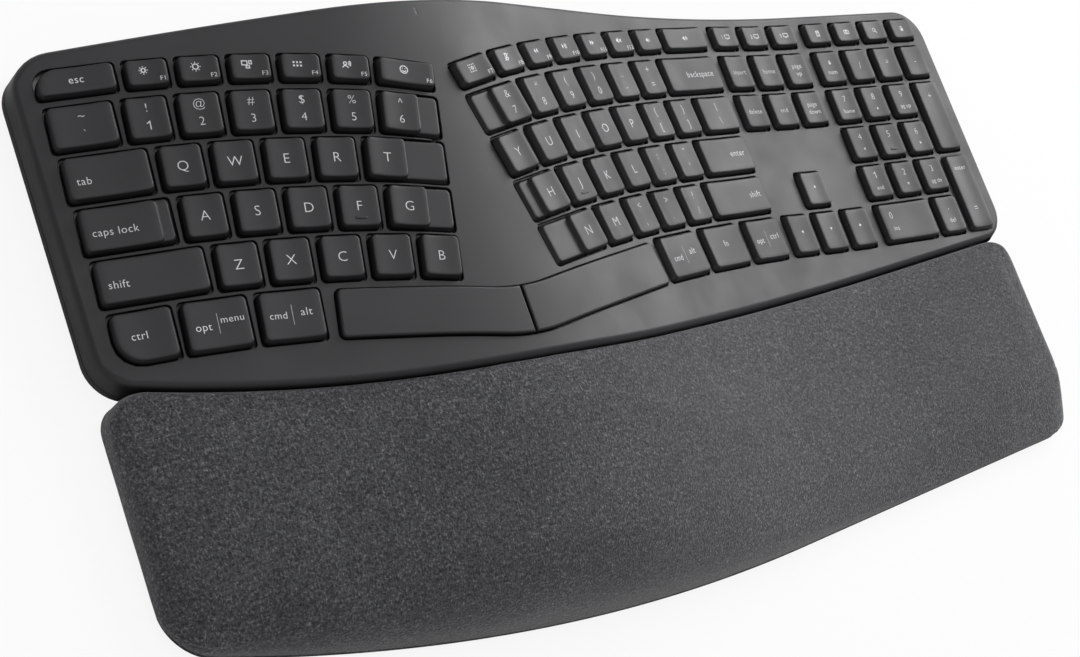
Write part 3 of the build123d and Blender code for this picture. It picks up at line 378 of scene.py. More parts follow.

# %% [markdown]
# The covers and the caps are black moulded plastic. One flat colour would look like paint. On the
# real parts the mould was spark-eroded, which leaves a very fine grain, and hands polish it
# unevenly. So the finish has a fine bump, a broad random change in tone and gloss, and edges
# rounded in the shading. Edges catch the light, so a lighter colour is put on them as a painted
# highlight, found by comparing a rounded normal with the true one.

# %% Painted edge highlight and painted skirt shade
EDGE_RADIUS = 0.00025
GRAIN_DEPTH = 0.00004
SMUDGE_SPREAD = 0.06


def worn_edges(tree, radius):
    """Where the rounded normal leaves the true one: 0 on faces and up to 1 on edges, the mask of a painted
    highlight, and the rounded normal itself.
    """
    bevel = tree.nodes.new("ShaderNodeBevel")
    bevel.samples = 4
    bevel.inputs["Radius"].default_value = radius
    true_normal = tree.nodes.new("ShaderNodeNewGeometry")
    dot = tree.nodes.new("ShaderNodeVectorMath")
    dot.operation = "DOT_PRODUCT"
    tree.links.new(bevel.outputs["Normal"], dot.inputs[0])
    tree.links.new(true_normal.outputs["Normal"], dot.inputs[1])
    return range_node(tree, dot.outputs["Value"], 1.0, 0.8, 0.0, 1.0), bevel.outputs["Normal"]


def darker_skirt(tree, tint, skirt):
    """Painted shade: the colour darkened on faces that look sideways, down to the share given by skirt."""
    facing = tree.nodes.new("ShaderNodeNewGeometry")
    split = tree.nodes.new("ShaderNodeSeparateXYZ")
    tree.links.new(facing.outputs["Normal"], split.inputs["Vector"])
    shade = range_node(tree, split.outputs["Z"], 0.25, 0.8, skirt, 1.0)
    return mix_node(tree, 1.0, tint, grey(tree, shade), "MULTIPLY")


print("edges rounded to", EDGE_RADIUS / MM, "mm in the shading")

# %% [markdown]
# In the photograph the sides of the caps are nearly black next to their tops: little light reaches
# into the narrow gaps. The lamps alone don't darken them enough, so the skirt value paints shade
# into the colour of faces that look sideways, on the caps and on the deck. The printed legends use
# the same recipe with pale ink and a finer grain.

# %% Moulded plastic
def plastic(name, colour, rough, grain=2600.0, bump=0.25, edge=0.25, skirt=1.0):
    """Moulded plastic: fine spark-eroded grain, a little polish where hands rub, softer edges with a painted
    highlight, and painted shade on faces that look sideways when skirt is below one.
    """
    material, tree, shader, place = new_material(name)
    fine = noise_node(tree, place, grain, 2.0, 0.6)
    broad = noise_node(tree, place, 14.0, 3.0, 0.5)
    dark = tuple(channel * 0.9 for channel in colour)
    light = tuple(min(channel * 1.12, 1.0) for channel in colour)
    body = ramp_node(tree, broad, [(0.35, dark), (0.65, light)])
    # Painted highlight: the colour is lightened along edges, by the share given by edge.
    edge_highlight, rounded = worn_edges(tree, EDGE_RADIUS)
    edge_highlight_colour = tuple(min(channel * 1.9 + 0.01, 1.0) for channel in colour)
    tint = mix_node(tree, range_node(tree, edge_highlight, 0.0, 1.0, 0.0, edge), body, edge_highlight_colour)
    # Painted shade: faces that look sideways get a darker colour, down to the share given by skirt.
    if skirt < 1.0:
        tint = darker_skirt(tree, tint, skirt)
    tree.links.new(tint, shader.inputs["Base Color"])
    smudge = noise_node(tree, place, 38.0, 4.0, 0.6)
    polish = range_node(tree, smudge, 0.3, 0.7, rough - SMUDGE_SPREAD, rough + SMUDGE_SPREAD)
    tree.links.new(polish, shader.inputs["Roughness"])
    tree.links.new(bump_node(tree, fine, bump, GRAIN_DEPTH, rounded), shader.inputs["Normal"])
    shader.inputs["IOR"].default_value = 1.46
    return material


# edge paints a highlight along edges, and skirt paints shade on the sideways faces of the deck and the caps.
deck_plastic = plastic("deck_plastic", (0.024, 0.025, 0.027), 0.48, skirt=0.4)
cap_plastic = plastic("cap_plastic", (0.022, 0.023, 0.025), 0.47, 3200.0, 0.18, edge=0.3, skirt=0.2)
base_plastic = plastic("base_plastic", (0.024, 0.025, 0.027), 0.62, grain=1500.0, bump=0.5)
leg_plastic = plastic("leg_plastic", (0.028, 0.029, 0.031), 0.55, grain=1800.0, bump=0.4)
legend_ink = plastic("legend_ink", (0.72, 0.73, 0.74), 0.6, grain=4000.0, bump=0.1, edge=0.0)
print("plastics and ink:", len(bpy.data.materials))

# %% [markdown]
# Rubber feet and domes. Real rubber is matt and gathers dust in patches. A plain rough shader would
# do from afar, but the feet fill the view from below, so a pale dust colour comes in where a soft
# noise is high, and a fine speck breaks up the gloss.

# %% Rubber
def rubber(name, colour, rough=0.85):
    """Matt rubber with a faint mould texture and dust."""
    material, tree, shader, place = new_material(name)
    speck = noise_node(tree, place, 900.0, 4.0, 0.7)
    patches = noise_node(tree, place, 60.0, 5.0, 0.65)
    dust = ramp_node(tree, patches, [(0.45, colour), (0.9, (0.16, 0.155, 0.15))])
    tree.links.new(dust, shader.inputs["Base Color"])
    tree.links.new(range_node(tree, speck, 0.3, 0.7, rough - 0.08, rough + 0.05), shader.inputs["Roughness"])
    tree.links.new(bump_node(tree, speck, 0.35, 0.00005), shader.inputs["Normal"])
    shader.inputs["Specular IOR Level"].default_value = 0.3
    return material


foot_rubber = rubber("foot_rubber", (0.028, 0.028, 0.030))
dome_rubber = rubber("dome_rubber", (0.48, 0.48, 0.47), 0.6)
print("rubbers:", foot_rubber.name, dome_rubber.name)

# %% [markdown]
# Steel plates, battery contacts and screws. Rolled sheet shows streaks in one direction, and
# stamped small parts don't. Anisotropic shading could give the streaks. A stretched noise in
# roughness and bump is lighter to render and shows the same at this size.

# %% Metal
def metal(name, colour, rough, brushed=True):
    """Metal with brushed streaks and slight tarnish."""
    material, tree, shader, place = new_material(name)
    stretch = (1.0, 45.0, 45.0) if brushed else None
    streak = noise_node(tree, place, 60.0, 4.0, 0.6, stretch)
    tarnish = noise_node(tree, place, 40.0, 3.0)
    dark = tuple(c * 0.72 for c in colour)
    tree.links.new(ramp_node(tree, tarnish, [(0.3, dark), (0.6, colour)]), shader.inputs["Base Color"])
    tree.links.new(range_node(tree, streak, 0.3, 0.7, rough - 0.1, rough + 0.12), shader.inputs["Roughness"])
    tree.links.new(bump_node(tree, streak, 0.15, 0.00003), shader.inputs["Normal"])
    shader.inputs["Metallic"].default_value = 1.0
    return material


sheet_steel = metal("sheet_steel", (0.52, 0.52, 0.54), 0.38)
contact_metal = metal("contact_metal", (0.76, 0.75, 0.72), 0.22, brushed=False)
screw_metal = metal("screw_metal", (0.10, 0.10, 0.11), 0.35, brushed=False)
print("metals:", sheet_steel.name, contact_metal.name, screw_metal.name)

# %% [markdown]
# The cloth of the palm rest is a heathered knit: dark yarn spun with pale fibres, which reads as
# salt and pepper. Modelled loops would cost millions of faces. Two noises, stretched across each
# other, place the pale fibres, small cells give the loops their relief, and a little sheen gives
# the soft edge that cloth has.

# %% Knitted cloth
HEATHER_STOPS = [(0.42, (0.020, 0.021, 0.023)), (0.58, (0.125, 0.128, 0.135)), (0.70, (0.46, 0.465, 0.475))]
CROSS_STOPS = [(0.40, (0.018, 0.019, 0.021)), (0.60, (0.100, 0.102, 0.108)), (0.74, (0.40, 0.405, 0.415))]


def knit(name):
    """Heathered knit: dark yarn with short light fibres, a rib of loops and a soft sheen."""
    material, tree, shader, place = new_material(name)
    fibre = noise_node(tree, place, 1250.0, 4.0, 0.75, (1.0, 0.65, 1.0))
    cross = noise_node(tree, place, 900.0, 4.0, 0.8, (0.5, 1.3, 1.0))
    heather = ramp_node(tree, fibre, HEATHER_STOPS)
    both = mix_node(tree, 0.5, heather, ramp_node(tree, cross, CROSS_STOPS))
    broad = noise_node(tree, place, 26.0, 3.0, 0.5)
    shade = range_node(tree, broad, 0.3, 0.7, 0.86, 1.1)
    tree.links.new(mix_node(tree, 1.0, both, grey(tree, shade), "MULTIPLY"), shader.inputs["Base Color"])
    loops = tree.nodes.new("ShaderNodeTexVoronoi")
    loops.inputs["Scale"].default_value = 1300.0
    loops.inputs["Randomness"].default_value = 0.8
    tree.links.new(place, loops.inputs["Vector"])
    lumps = bump_node(tree, loops.outputs["Distance"], 0.55, 0.00035)
    tree.links.new(bump_node(tree, fibre, 0.5, 0.00025, lumps), shader.inputs["Normal"])
    shader.inputs["Roughness"].default_value = 0.95
    shader.inputs["Specular IOR Level"].default_value = 0.15
    shader.inputs["Sheen Weight"].default_value = 0.35
    shader.inputs["Sheen Roughness"].default_value = 0.5
    return material


knit_cloth = knit("knit_cloth")
print("cloth:", knit_cloth.name)

# %% [markdown]
# Inside, a lacquered circuit board drives a printed film, the membrane. Real tracks could be
# modelled, but they are seen only when the keyboard is taken apart. A brick pattern under green
# lacquer and a wavy pattern on the milky film give tracks at the right size for nothing.

# %% Circuit board and film
def board_laminate():
    """Lacquered board with copper tracks under the mask."""
    material, tree, shader, place = new_material("board_laminate")
    tracks = tree.nodes.new("ShaderNodeTexBrick")
    tracks.inputs["Scale"].default_value = 160.0
    tracks.inputs["Color1"].default_value = (0.012, 0.085, 0.045, 1.0)
    tracks.inputs["Color2"].default_value = (0.014, 0.10, 0.05, 1.0)
    tracks.inputs["Mortar"].default_value = (0.05, 0.17, 0.07, 1.0)
    tracks.inputs["Mortar Size"].default_value = 0.06
    tree.links.new(place, tracks.inputs["Vector"])
    tree.links.new(tracks.outputs["Color"], shader.inputs["Base Color"])
    tree.links.new(bump_node(tree, tracks.outputs["Fac"], 0.3, 0.00006), shader.inputs["Normal"])
    shader.inputs["Roughness"].default_value = 0.28
    return material


def film():
    """Milky printed film with faint silver tracks."""
    material, tree, shader, place = new_material("clear_film")
    tracks = tree.nodes.new("ShaderNodeTexWave")
    tracks.inputs["Scale"].default_value = 90.0
    tracks.inputs["Distortion"].default_value = 6.0
    tree.links.new(place, tracks.inputs["Vector"])
    tint = ramp_node(tree, tracks.outputs["Fac"], [(0.8, (0.42, 0.45, 0.42)), (0.86, (0.66, 0.67, 0.66))])
    tree.links.new(tint, shader.inputs["Base Color"])
    tree.links.new(bump_node(tree, tracks.outputs["Fac"], 0.2, 0.00005), shader.inputs["Normal"])
    shader.inputs["Roughness"].default_value = 0.35
    shader.inputs["Transmission Weight"].default_value = 0.15
    return material


print("electronics finishes ready")

# %% [markdown]
# The two cells wear a printed sleeve in two bands, and the light guide behind the crest is clear
# plastic that looks dark while it is off. The sleeve could be two objects, but one colour ramp
# along the cell's length draws both bands, so the CAD node keeps a single material. The cushion's
# foam has open cells.

# %% Sleeve, light guide and foam
SLEEVE_START = -0.100
SLEEVE_END = -0.054


def cell_jacket():
    """Printed battery sleeve in two bands, along X, with a satin print rubbed through in patches."""
    material, tree, shader, place = new_material("cell_jacket")
    split = tree.nodes.new("ShaderNodeSeparateXYZ")
    tree.links.new(place, split.inputs["Vector"])
    along = range_node(tree, split.outputs["X"], SLEEVE_START, SLEEVE_END, 0.0, 1.0)
    band = ramp_node(tree, along, [(0.68, (0.06, 0.065, 0.075)), (0.70, (0.45, 0.30, 0.12))])
    scuff = noise_node(tree, place, 220.0, 5.0, 0.7)
    rubbed = range_node(tree, scuff, 0.55, 0.8, 0.0, 0.3)
    tree.links.new(mix_node(tree, rubbed, band, (0.5, 0.5, 0.5)), shader.inputs["Base Color"])
    tree.links.new(range_node(tree, scuff, 0.3, 0.7, 0.25, 0.45), shader.inputs["Roughness"])
    tree.links.new(bump_node(tree, scuff, 0.2, 0.00004), shader.inputs["Normal"])
    shader.inputs["Metallic"].default_value = 0.6
    return material


def light_guide():
    """Clear light guide, a little hazy."""
    material, tree, shader, place = new_material("light_guide")
    haze = noise_node(tree, place, 1200.0, 3.0)
    milk = ramp_node(tree, haze, [(0.3, (0.14, 0.15, 0.16)), (0.7, (0.24, 0.25, 0.26))])
    tree.links.new(milk, shader.inputs["Base Color"])
    tree.links.new(range_node(tree, haze, 0.3, 0.7, 0.15, 0.3), shader.inputs["Roughness"])
    tree.links.new(bump_node(tree, haze, 0.1, 0.00003), shader.inputs["Normal"])
    shader.inputs["Transmission Weight"].default_value = 0.3
    return material


def foam():
    """Open-celled foam."""
    material, tree, shader, place = new_material("foam")
    cells = tree.nodes.new("ShaderNodeTexVoronoi")
    cells.inputs["Scale"].default_value = 1100.0
    tree.links.new(place, cells.inputs["Vector"])
    walls = cells.outputs["Distance"]
    tint = ramp_node(tree, walls, [(0.1, (0.04, 0.04, 0.042)), (0.6, (0.13, 0.13, 0.135))])
    tree.links.new(tint, shader.inputs["Base Color"])
    tree.links.new(bump_node(tree, walls, 0.8, 0.0004), shader.inputs["Normal"])
    shader.inputs["Roughness"].default_value = 1.0
    return material


print("sleeve, light guide and foam ready")

# %% [markdown]
# Every node of the frame gets its finish from one table, with the caps' plastic for all that it
# doesn't name. Assigning by hand would be as quick, but a table shows at a glance what each piece
# is made of.

# %% Paint the nodes
FINISHES = {
    "bottom_cover": base_plastic,
    "palm_rest_base": base_plastic,
    "palm_rest_frame": base_plastic,
    "battery_door": base_plastic,
    "power_switch_body": base_plastic,
    "power_switch_slider": leg_plastic,
    "palm_rest_foam": foam(),
    "key_plate": sheet_steel,
    "joining_plates": sheet_steel,
    "membrane_sheet": film(),
    "rubber_domes": dome_rubber,
    "circuit_board": board_laminate(),
    "status_light": light_guide(),
    "batteries": cell_jacket(),
    "battery_contacts": contact_metal,
    "keyboard_feet": foot_rubber,
    "palm_rest_feet": foot_rubber,
    "top_cover": deck_plastic,
    "palm_rest_fabric": knit_cloth,
}
for node_name, node in nodes.items():
    if "leg" in node_name.split("_"):
        chosen = leg_plastic
    else:
        chosen = FINISHES.get(node_name, cap_plastic)
    node.data.materials.clear()
    node.data.materials.append(chosen)
print("nodes painted:", len(nodes))

# %% [markdown]
# The key caps stand in rows on the deck, each square to the wave at its own place. Measuring them
# again would risk a cap that stands off its opening. Instead each solid in a key node of the frame
# is read: its flat underside gives the plane and the size, and a lowered strip gives the step of
# the caps beside the wedge.

# %% Key nodes and sizes
KEY_NODES = """
escape_key left_function_keys right_function_keys device_keys shortcut_keys grave_key
left_number_keys right_number_keys backspace_key tab_key left_top_letter_keys right_top_letter_keys
caps_lock_key left_home_letter_keys right_home_letter_keys enter_key left_shift_key
left_bottom_letter_keys right_bottom_letter_keys right_shift_key control_key left_modifier_keys
right_modifier_keys navigation_keys arrow_keys pad_operator_keys pad_number_keys pad_plus_key
pad_enter_key pad_zero_key pad_point_key
""".split()
CAP_FLARE = 0.8
CAP_HEIGHT = 4.2
DISH_DEPTH = 0.42
DISH_MARGIN = 1.2
LOCK_DROP = 1.0
WEDGE_DROP = 1.8
print("key nodes:", len(KEY_NODES))

# %% One cap
class Cap:
    """One key cap: its frame on top, its size, the width and drop of its flat step and its round corner."""

    def __init__(self, origin, along, normal, width, depth, step, drop, corner):
        self.origin = origin
        self.along = along
        self.normal = normal
        self.back = normal.cross(along)
        self.width = width
        self.depth = depth
        self.step = step
        self.drop = drop
        self.corner = corner

    def at(self, u, v, w):
        """A place on the cap's own axes: across, towards the back and upwards."""
        spot = self.origin + self.along * u + self.back * v + self.normal * w
        return (spot.x, spot.y, spot.z)

    def main_width(self):
        """Width of the dished part, without the step."""
        return self.width - abs(self.step)

    def main_u(self):
        """Middle of the dished part."""
        return -self.step / 2

    def surface(self, u):
        """Height of the dished top at u."""
        share = min(abs(u - self.main_u()) / (self.main_width() / 2 - DISH_MARGIN), 1.0)
        return -DISH_DEPTH * (1 - share**2) ** 1.4


print("a dish is", DISH_DEPTH, "mm deep")

# %% Separate the solids of a node
def islands(mesh):
    """The mesh with its seams merged, and the points and faces of each separate solid."""
    work = bmesh.new()
    work.from_mesh(mesh)
    bmesh.ops.remove_doubles(work, verts=work.verts, dist=2e-6)
    seen = set()
    groups = []
    for start in work.verts:
        if start in seen:
            continue
        stack = [start]
        seen.add(start)
        group = []
        while stack:
            vertex = stack.pop()
            group.append(vertex)
            for edge in vertex.link_edges:
                other = edge.other_vert(vertex)
                if other not in seen:
                    seen.add(other)
                    stack.append(other)
        faces = {face for vertex in group for face in vertex.link_faces}
        groups.append((group, faces))
    return work, groups


print("solid finder ready")

# %% Read one solid as a cap
def read_cap(group, faces, drop, corner):
    """The cap that a solid stands for."""
    areas = {}
    for face in faces:
        if face.normal.z < -0.6:
            key = tuple(round(part, 2) for part in face.normal)
            areas.setdefault(key, []).append(face)
    flat = max(areas.values(), key=lambda some: sum(face.calc_area() for face in some))
    down = sum((face.normal * face.calc_area() for face in flat), Vector()).normalized()
    normal = -down
    best = None
    for edge in {edge for face in flat for edge in face.edges}:
        if len([face for face in edge.link_faces if face in flat]) == 1:
            run = edge.verts[1].co - edge.verts[0].co
            if abs(run.normalized().x) > 0.8 and (best is None or run.length > best.length):
                best = run
    along = best.normalized() * (1 if best.x > 0 else -1)
    along = (along - normal * along.dot(normal)).normalized()
    back = normal.cross(along)
    local = [(p.dot(along), p.dot(back), p.dot(normal)) for p in (vertex.co * 1000 for vertex in group)]
    low = min(w for u, v, w in local)
    bottom = [(u, v) for u, v, w in local if w < low + 0.02]
    us = [u for u, v in bottom]
    vs = [v for u, v in bottom]
    middle_u = (min(us) + max(us)) / 2
    middle_v = (min(vs) + max(vs)) / 2
    width = max(us) - min(us) - 2 * CAP_FLARE
    depth = max(vs) - min(vs) - 2 * CAP_FLARE
    top = low + CAP_HEIGHT
    lowered = [u - middle_u for u, v, w in local if abs(w - top + drop) < 0.03]
    step = 0.0
    if lowered:
        if sum(lowered) > 0:
            step = width / 2 - min(lowered)
        else:
            step = -(max(lowered) + width / 2)
    origin = along * middle_u + back * middle_v + normal * top
    return Cap(origin, along, normal, width, depth, step, drop, corner)


print("cap reader ready")

# %% [markdown]
# Solids inside a node come back in no certain order, and the legends must land on the right caps.
# Sorting by place settles that: by x in a row, and by row first where a node holds several rows.

# %% Sort the caps
ROWS = {"navigation_keys": (3, 3), "arrow_keys": (1, 3), "pad_number_keys": (3, 3, 3)}
BIG_CORNERS = {"escape_key": "back", "control_key": "front"}


def in_rows(found, counts):
    """Caps from the back row to the front one, each row from left to right."""
    found = sorted(found, key=lambda cap: -cap.origin.y)
    ordered = []
    for count in counts:
        ordered += sorted(found[:count], key=lambda cap: cap.origin.x)
        found = found[count:]
    return ordered


caps = {}
for node_name in KEY_NODES:
    work, groups = islands(nodes[node_name].data)
    drop = LOCK_DROP if node_name == "caps_lock_key" else WEDGE_DROP
    found = [read_cap(group, faces, drop, BIG_CORNERS.get(node_name)) for group, faces in groups]
    work.free()
    caps[node_name] = in_rows(found, ROWS.get(node_name, (len(found),)))
every_cap = [cap for some in caps.values() for cap in some]
print("caps:", len(every_cap), "stepped:", sum(abs(cap.step) > 0.1 for cap in every_cap))

# %% [markdown]
# Each cap is a tapered skirt under a rolled edge and a top that is dished from left to right, and
# the caps at two corners of the field have one large round corner. A bevelled cube with a boolean
# for the dish would do for one cap. With 108 caps of many widths, outlines stacked as rings give
# the same roll everywhere, and the dish is a formula of the place across the cap.

# %% Outline of a cap
CAP_CORNER = 1.9
FRONT_CORNER = 9.0
BACK_CORNER = 7.0


def between(start, end, pieces):
    """Points that split a straight run, without its ends."""
    shares = [piece / pieces for piece in range(1, pieces)]
    return [(start[0] + (end[0] - start[0]) * s, start[1] + (end[1] - start[1]) * s) for s in shares]


def cap_ring(width, depth, corner, grow, big=None):
    """Outline of a cap with rounded corners, anticlockwise."""
    w = width / 2 + grow
    d = depth / 2 + grow
    radii = [corner] * 4
    if big == "front":
        radii[0] = FRONT_CORNER + grow
    if big == "back":
        radii[3] = BACK_CORNER + grow
    radii = [max(radius, 0.3) for radius in radii]
    centres = ((-1, -1), (1, -1), (1, 1), (-1, 1))
    ring = []
    for i, ((side_x, side_y), radius, start) in enumerate(zip(centres, radii, (180, 270, 0, 90))):
        for step in range(7):
            angle = math.radians(start + 90 * step / 6)
            cx = side_x * (w - radius)
            cy = side_y * (d - radius)
            ring.append((cx + radius * math.cos(angle), cy + radius * math.sin(angle)))
        after = (i + 1) % 4
        last = ring[-1]
        if i % 2 == 0:
            ring += between(last, (centres[after][0] * (w - radii[after]), last[1]), 6)
        else:
            ring += between(last, (last[0], centres[after][1] * (d - radii[after])), 3)
    return ring


print("points around a cap:", len(cap_ring(18, 18, CAP_CORNER, 0)))

# %% Body of a cap
TOP_ROUND = 0.75
RING_SHARES = (0.86, 0.66, 0.42, 0.2)


def add_cap(build, cap, middle_u, width, drop, dished, big, flare=CAP_FLARE, low=-CAP_HEIGHT):
    """One closed cap body on the cap's frame."""
    def top(u):
        """Height of the cap's top at u."""
        return (cap.surface(u) if dished else 0.0) - drop

    rings = []
    stages = [(flare, low, None), (flare * 0.24 + 0.02, None, -TOP_ROUND * 1.25)]
    for step in range(5):
        angle = math.radians(90 * step / 4)
        stages.append((-TOP_ROUND * (1 - math.cos(angle)), None, -TOP_ROUND * (1 - math.sin(angle))))
    for grow, fixed, below in stages:
        ring = cap_ring(width, cap.depth, max(CAP_CORNER + grow, 0.9), grow, big)
        points = []
        for u, v in ring:
            w = fixed if fixed is not None else top(u + middle_u) + below
            points.append(cap.at(u + middle_u, v, w))
        rings.append(build.ring(points))
    inner = cap_ring(width, cap.depth, CAP_CORNER - TOP_ROUND, -TOP_ROUND, big)
    for share in RING_SHARES:
        points = [cap.at(u * share + middle_u, v * share, top(u * share + middle_u)) for u, v in inner]
        rings.append(build.ring(points))
    build.cap_off(rings[0], upward=False)
    for low_ring, high_ring in zip(rings, rings[1:]):
        build.bridge(low_ring, high_ring)
    build.points.append(cap.at(middle_u, 0, top(middle_u)))
    hub = len(build.points) - 1
    last = rings[-1]
    for i in range(len(last)):
        build.faces.append((last[i], last[(i + 1) % len(last)], hub))


print("rings over a cap's top:", len(RING_SHARES))

# %% [markdown]
# The caps beside the wedge, and caps lock, have a lower flat extension beside the dished part. On
# the real ones both are one moulding. Two closed bodies that overlap look the same, and they save a
# boolean per cap. All caps of a node make one object, because they ride on one body.

# %% Build the caps
SHELF_LAP = 2.2
STEP_LEAST = 0.4
for node_name, some in caps.items():
    build = Build()
    for cap in some:
        if abs(cap.step) > STEP_LEAST:
            side = math.copysign(1, cap.step)
            add_cap(build, cap, cap.main_u(), cap.main_width(), 0.0, True, cap.corner, flare=CAP_FLARE * 0.9)
            shelf = abs(cap.step) + SHELF_LAP
            add_cap(build, cap, side * (cap.width / 2 - shelf / 2), shelf, cap.drop, False, None)
        else:
            add_cap(build, cap, 0.0, cap.width, 0.0, True, cap.corner)
    piece = link(node_name + "_caps", build.mesh(node_name + "_caps"), cap_plastic, angle=50.0)
    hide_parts(node_name)
    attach(piece, node_name)
print("cap pieces:", len(caps))

# %% [markdown]
# The deck is one moulded shell with an opening for every key. Cutting 110 holes with booleans would
# be slow and would disturb the smooth shading beside each hole. A mould maker starts from the plan,
# and so does this: outlines drawn flat, then filled with triangles, then lifted onto the wave.
# These helpers round, inset and split the outlines.

# %% Round a polygon
def round_polygon(points, radii, steps=6):
    """Corner points replaced by arcs. The points run anticlockwise."""
    out = []
    count = len(points)
    for i in range(count):
        corner = Vector(points[i])
        back = Vector(points[i - 1]) - corner
        ahead = Vector(points[(i + 1) % count]) - corner
        radius = radii[i]
        if radius <= 0.01:
            out.append((corner.x, corner.y))
            continue
        back_dir = back.normalized()
        ahead_dir = ahead.normalized()
        half_angle = back_dir.angle(ahead_dir) / 2
        reach = min(radius / math.tan(half_angle), back.length * 0.49, ahead.length * 0.49)
        radius = reach * math.tan(half_angle)
        centre = corner + (back_dir + ahead_dir).normalized() * (radius / math.sin(half_angle))
        start = corner + back_dir * reach - centre
        end = corner + ahead_dir * reach - centre
        turn = start.angle_signed(end)
        for step in range(steps + 1):
            part = -turn * step / steps
            spot = centre + Matrix.Rotation(part, 2) @ start
            out.append((spot.x, spot.y))
    return out


print("a rounded square has", len(round_polygon(block(0, 0, 10, 10), [2] * 4)), "points")

# %% Inset and split a polygon
def inset_polygon(points, distance):
    """A polygon drawn in by a small distance along its corner normals."""
    count = len(points)
    out = []
    for i in range(count):
        before = Vector(points[i - 1])
        here = Vector(points[i])
        after = Vector(points[(i + 1) % count])
        one = (here - before).normalized()
        two = (after - here).normalized()
        normal = Vector((-one.y - two.y, one.x + two.x))
        if normal.length < 1e-6:
            normal = Vector((-one.y, one.x))
        normal.normalize()
        lean = max(normal.dot(Vector((-one.y, one.x))), 0.35)
        spot = here + normal * (distance / lean)
        out.append((spot.x, spot.y))
    return out


def resample(points, longest):
    """Long runs of a closed polygon are split so that none is longer than the limit."""
    out = []
    for i, point in enumerate(points):
        after = points[(i + 1) % len(points)]
        run = math.hypot(after[0] - point[0], after[1] - point[1])
        parts = max(1, math.ceil(run / longest))
        for part in range(parts):
            share = part / parts
            out.append((point[0] + (after[0] - point[0]) * share, point[1] + (after[1] - point[1]) * share))
    return out


print("outline helpers ready")

# %% [markdown]
# The outline of the cover in plan: straight sides and back, a bowed front, and corners whose arcs
# meet the bow at its own slope. The outline is drawn where the rolled rim begins, one rim radius
# inside the edge.

# %% Outline of the deck
PARTING_Z = 5.2
RIM_ROUND = 2.6
COVER_WALL = 2.0
FRONT_STEPS = 92
SIDE_STEPS = 14


def slope_of(x, curve):
    """Slope of a curve at x."""
    return (curve(x + 0.5) - curve(x - 0.5))


def corner_arc(centre, radius, start, swing):
    """Points along one round corner, with angles in radians."""
    angles = [start + swing * step / 8 for step in range(9)]
    return [(centre[0] + radius * math.cos(a), centre[1] + radius * math.sin(a)) for a in angles]


def rounded_plan(inset, front, back, radius):
    """Plan with a bowed front and four rounded corners, anticlockwise from the front left."""
    r = radius - inset
    reach = HALF - inset

    def low(x):
        """The bowed front at x."""
        return front(x, inset)

    left_x = -reach + r
    right_x = reach - r
    left_turn = math.atan(slope_of(left_x, low))
    right_turn = math.atan(slope_of(right_x, low))
    left_centre = (left_x, low(left_x) + r / math.cos(left_turn))
    right_centre = (right_x, low(right_x) + r / math.cos(right_turn))
    top = back - inset
    start = left_x + r * math.sin(left_turn)
    end = right_x + r * math.sin(right_turn)
    plan = corner_arc(left_centre, r, math.pi, math.pi / 2 + left_turn)
    for step in range(1, FRONT_STEPS):
        x = start + (end - start) * step / FRONT_STEPS
        plan.append((x, low(x)))
    plan += corner_arc(right_centre, r, 1.5 * math.pi + right_turn, math.pi / 2 - right_turn)
    for step in range(1, SIDE_STEPS):
        plan.append((reach, right_centre[1] + (top - r - right_centre[1]) * step / SIDE_STEPS))
    plan += corner_arc((right_x, top - r), r, 0.0, math.pi / 2)
    for step in range(1, FRONT_STEPS):
        plan.append((right_x + (2 * r - 2 * reach) * step / FRONT_STEPS, top))
    plan += corner_arc((left_x, top - r), r, math.pi / 2, math.pi / 2)
    for step in range(1, SIDE_STEPS):
        plan.append((-reach, top - r + (left_centre[1] - top + r) * step / SIDE_STEPS))
    return plan


rim = rounded_plan(RIM_ROUND, deck_front, BACK_Y, CORNER)
print("points around the rim:", len(rim))

# %% [markdown]
# The two space bars lie in one long opening that is bent at the crest, because each hand's half of
# the field is turned outwards. The bend is an arc in front and a soft curve behind. Both bars and
# their opening come from the same plan, so the gap between them is even all around.

# %% Plan of the space bars
BAR_RISE = 1.6
BAR_BACK_Y = -2.0
BAR_DEPTH = 18.0
BAR_HEADING = math.radians(10.8)
BAR_LEFT_X = -148.5
BAR_RIGHT_X = 3.0
BAR_BEND = 70.0


def bar_plan(grow):
    """Plan of both space bars together."""
    rise = math.tan(BAR_HEADING)
    left = CREST_X - BAR_LEFT_X
    right = BAR_RIGHT_X - CREST_X
    lean = BAR_DEPTH * math.sin(BAR_HEADING) * math.cos(BAR_HEADING)
    front = BAR_BACK_Y - BAR_DEPTH
    corners = [
        (CREST_X - left, front + left * rise),
        (CREST_X, front),
        (CREST_X + right, front + right * rise),
        (CREST_X + right - lean, BAR_BACK_Y + (right - lean) * rise),
        (CREST_X, BAR_BACK_Y),
        (CREST_X - left + lean, BAR_BACK_Y + (left - lean) * rise),
    ]
    plan = round_polygon(corners, [2.0, BAR_BEND, 2.0, 2.0, 0.0, 2.0], 8)
    at = min(range(len(plan)), key=lambda i: math.hypot(plan[i][0] - CREST_X, plan[i][1] - BAR_BACK_Y))
    crook = [Vector(plan[at - 1]), Vector(plan[at]), Vector(plan[(at + 1) % len(plan)])]
    bend = []
    reach = BAR_BEND * math.tan(BAR_HEADING)
    one = crook[1] + (crook[0] - crook[1]).normalized() * reach
    two = crook[1] + (crook[2] - crook[1]).normalized() * reach
    for step in range(9):
        t = step / 8
        spot = one * (1 - t) ** 2 + crook[1] * 2 * t * (1 - t) + two * t**2
        bend.append((spot.x, spot.y))
    plan = plan[:at] + bend + plan[at + 1:]
    plan = resample(plan, 5.0)
    return inset_polygon(plan, -grow) if grow else plan


print("points around both bars:", len(bar_plan(0.0)))

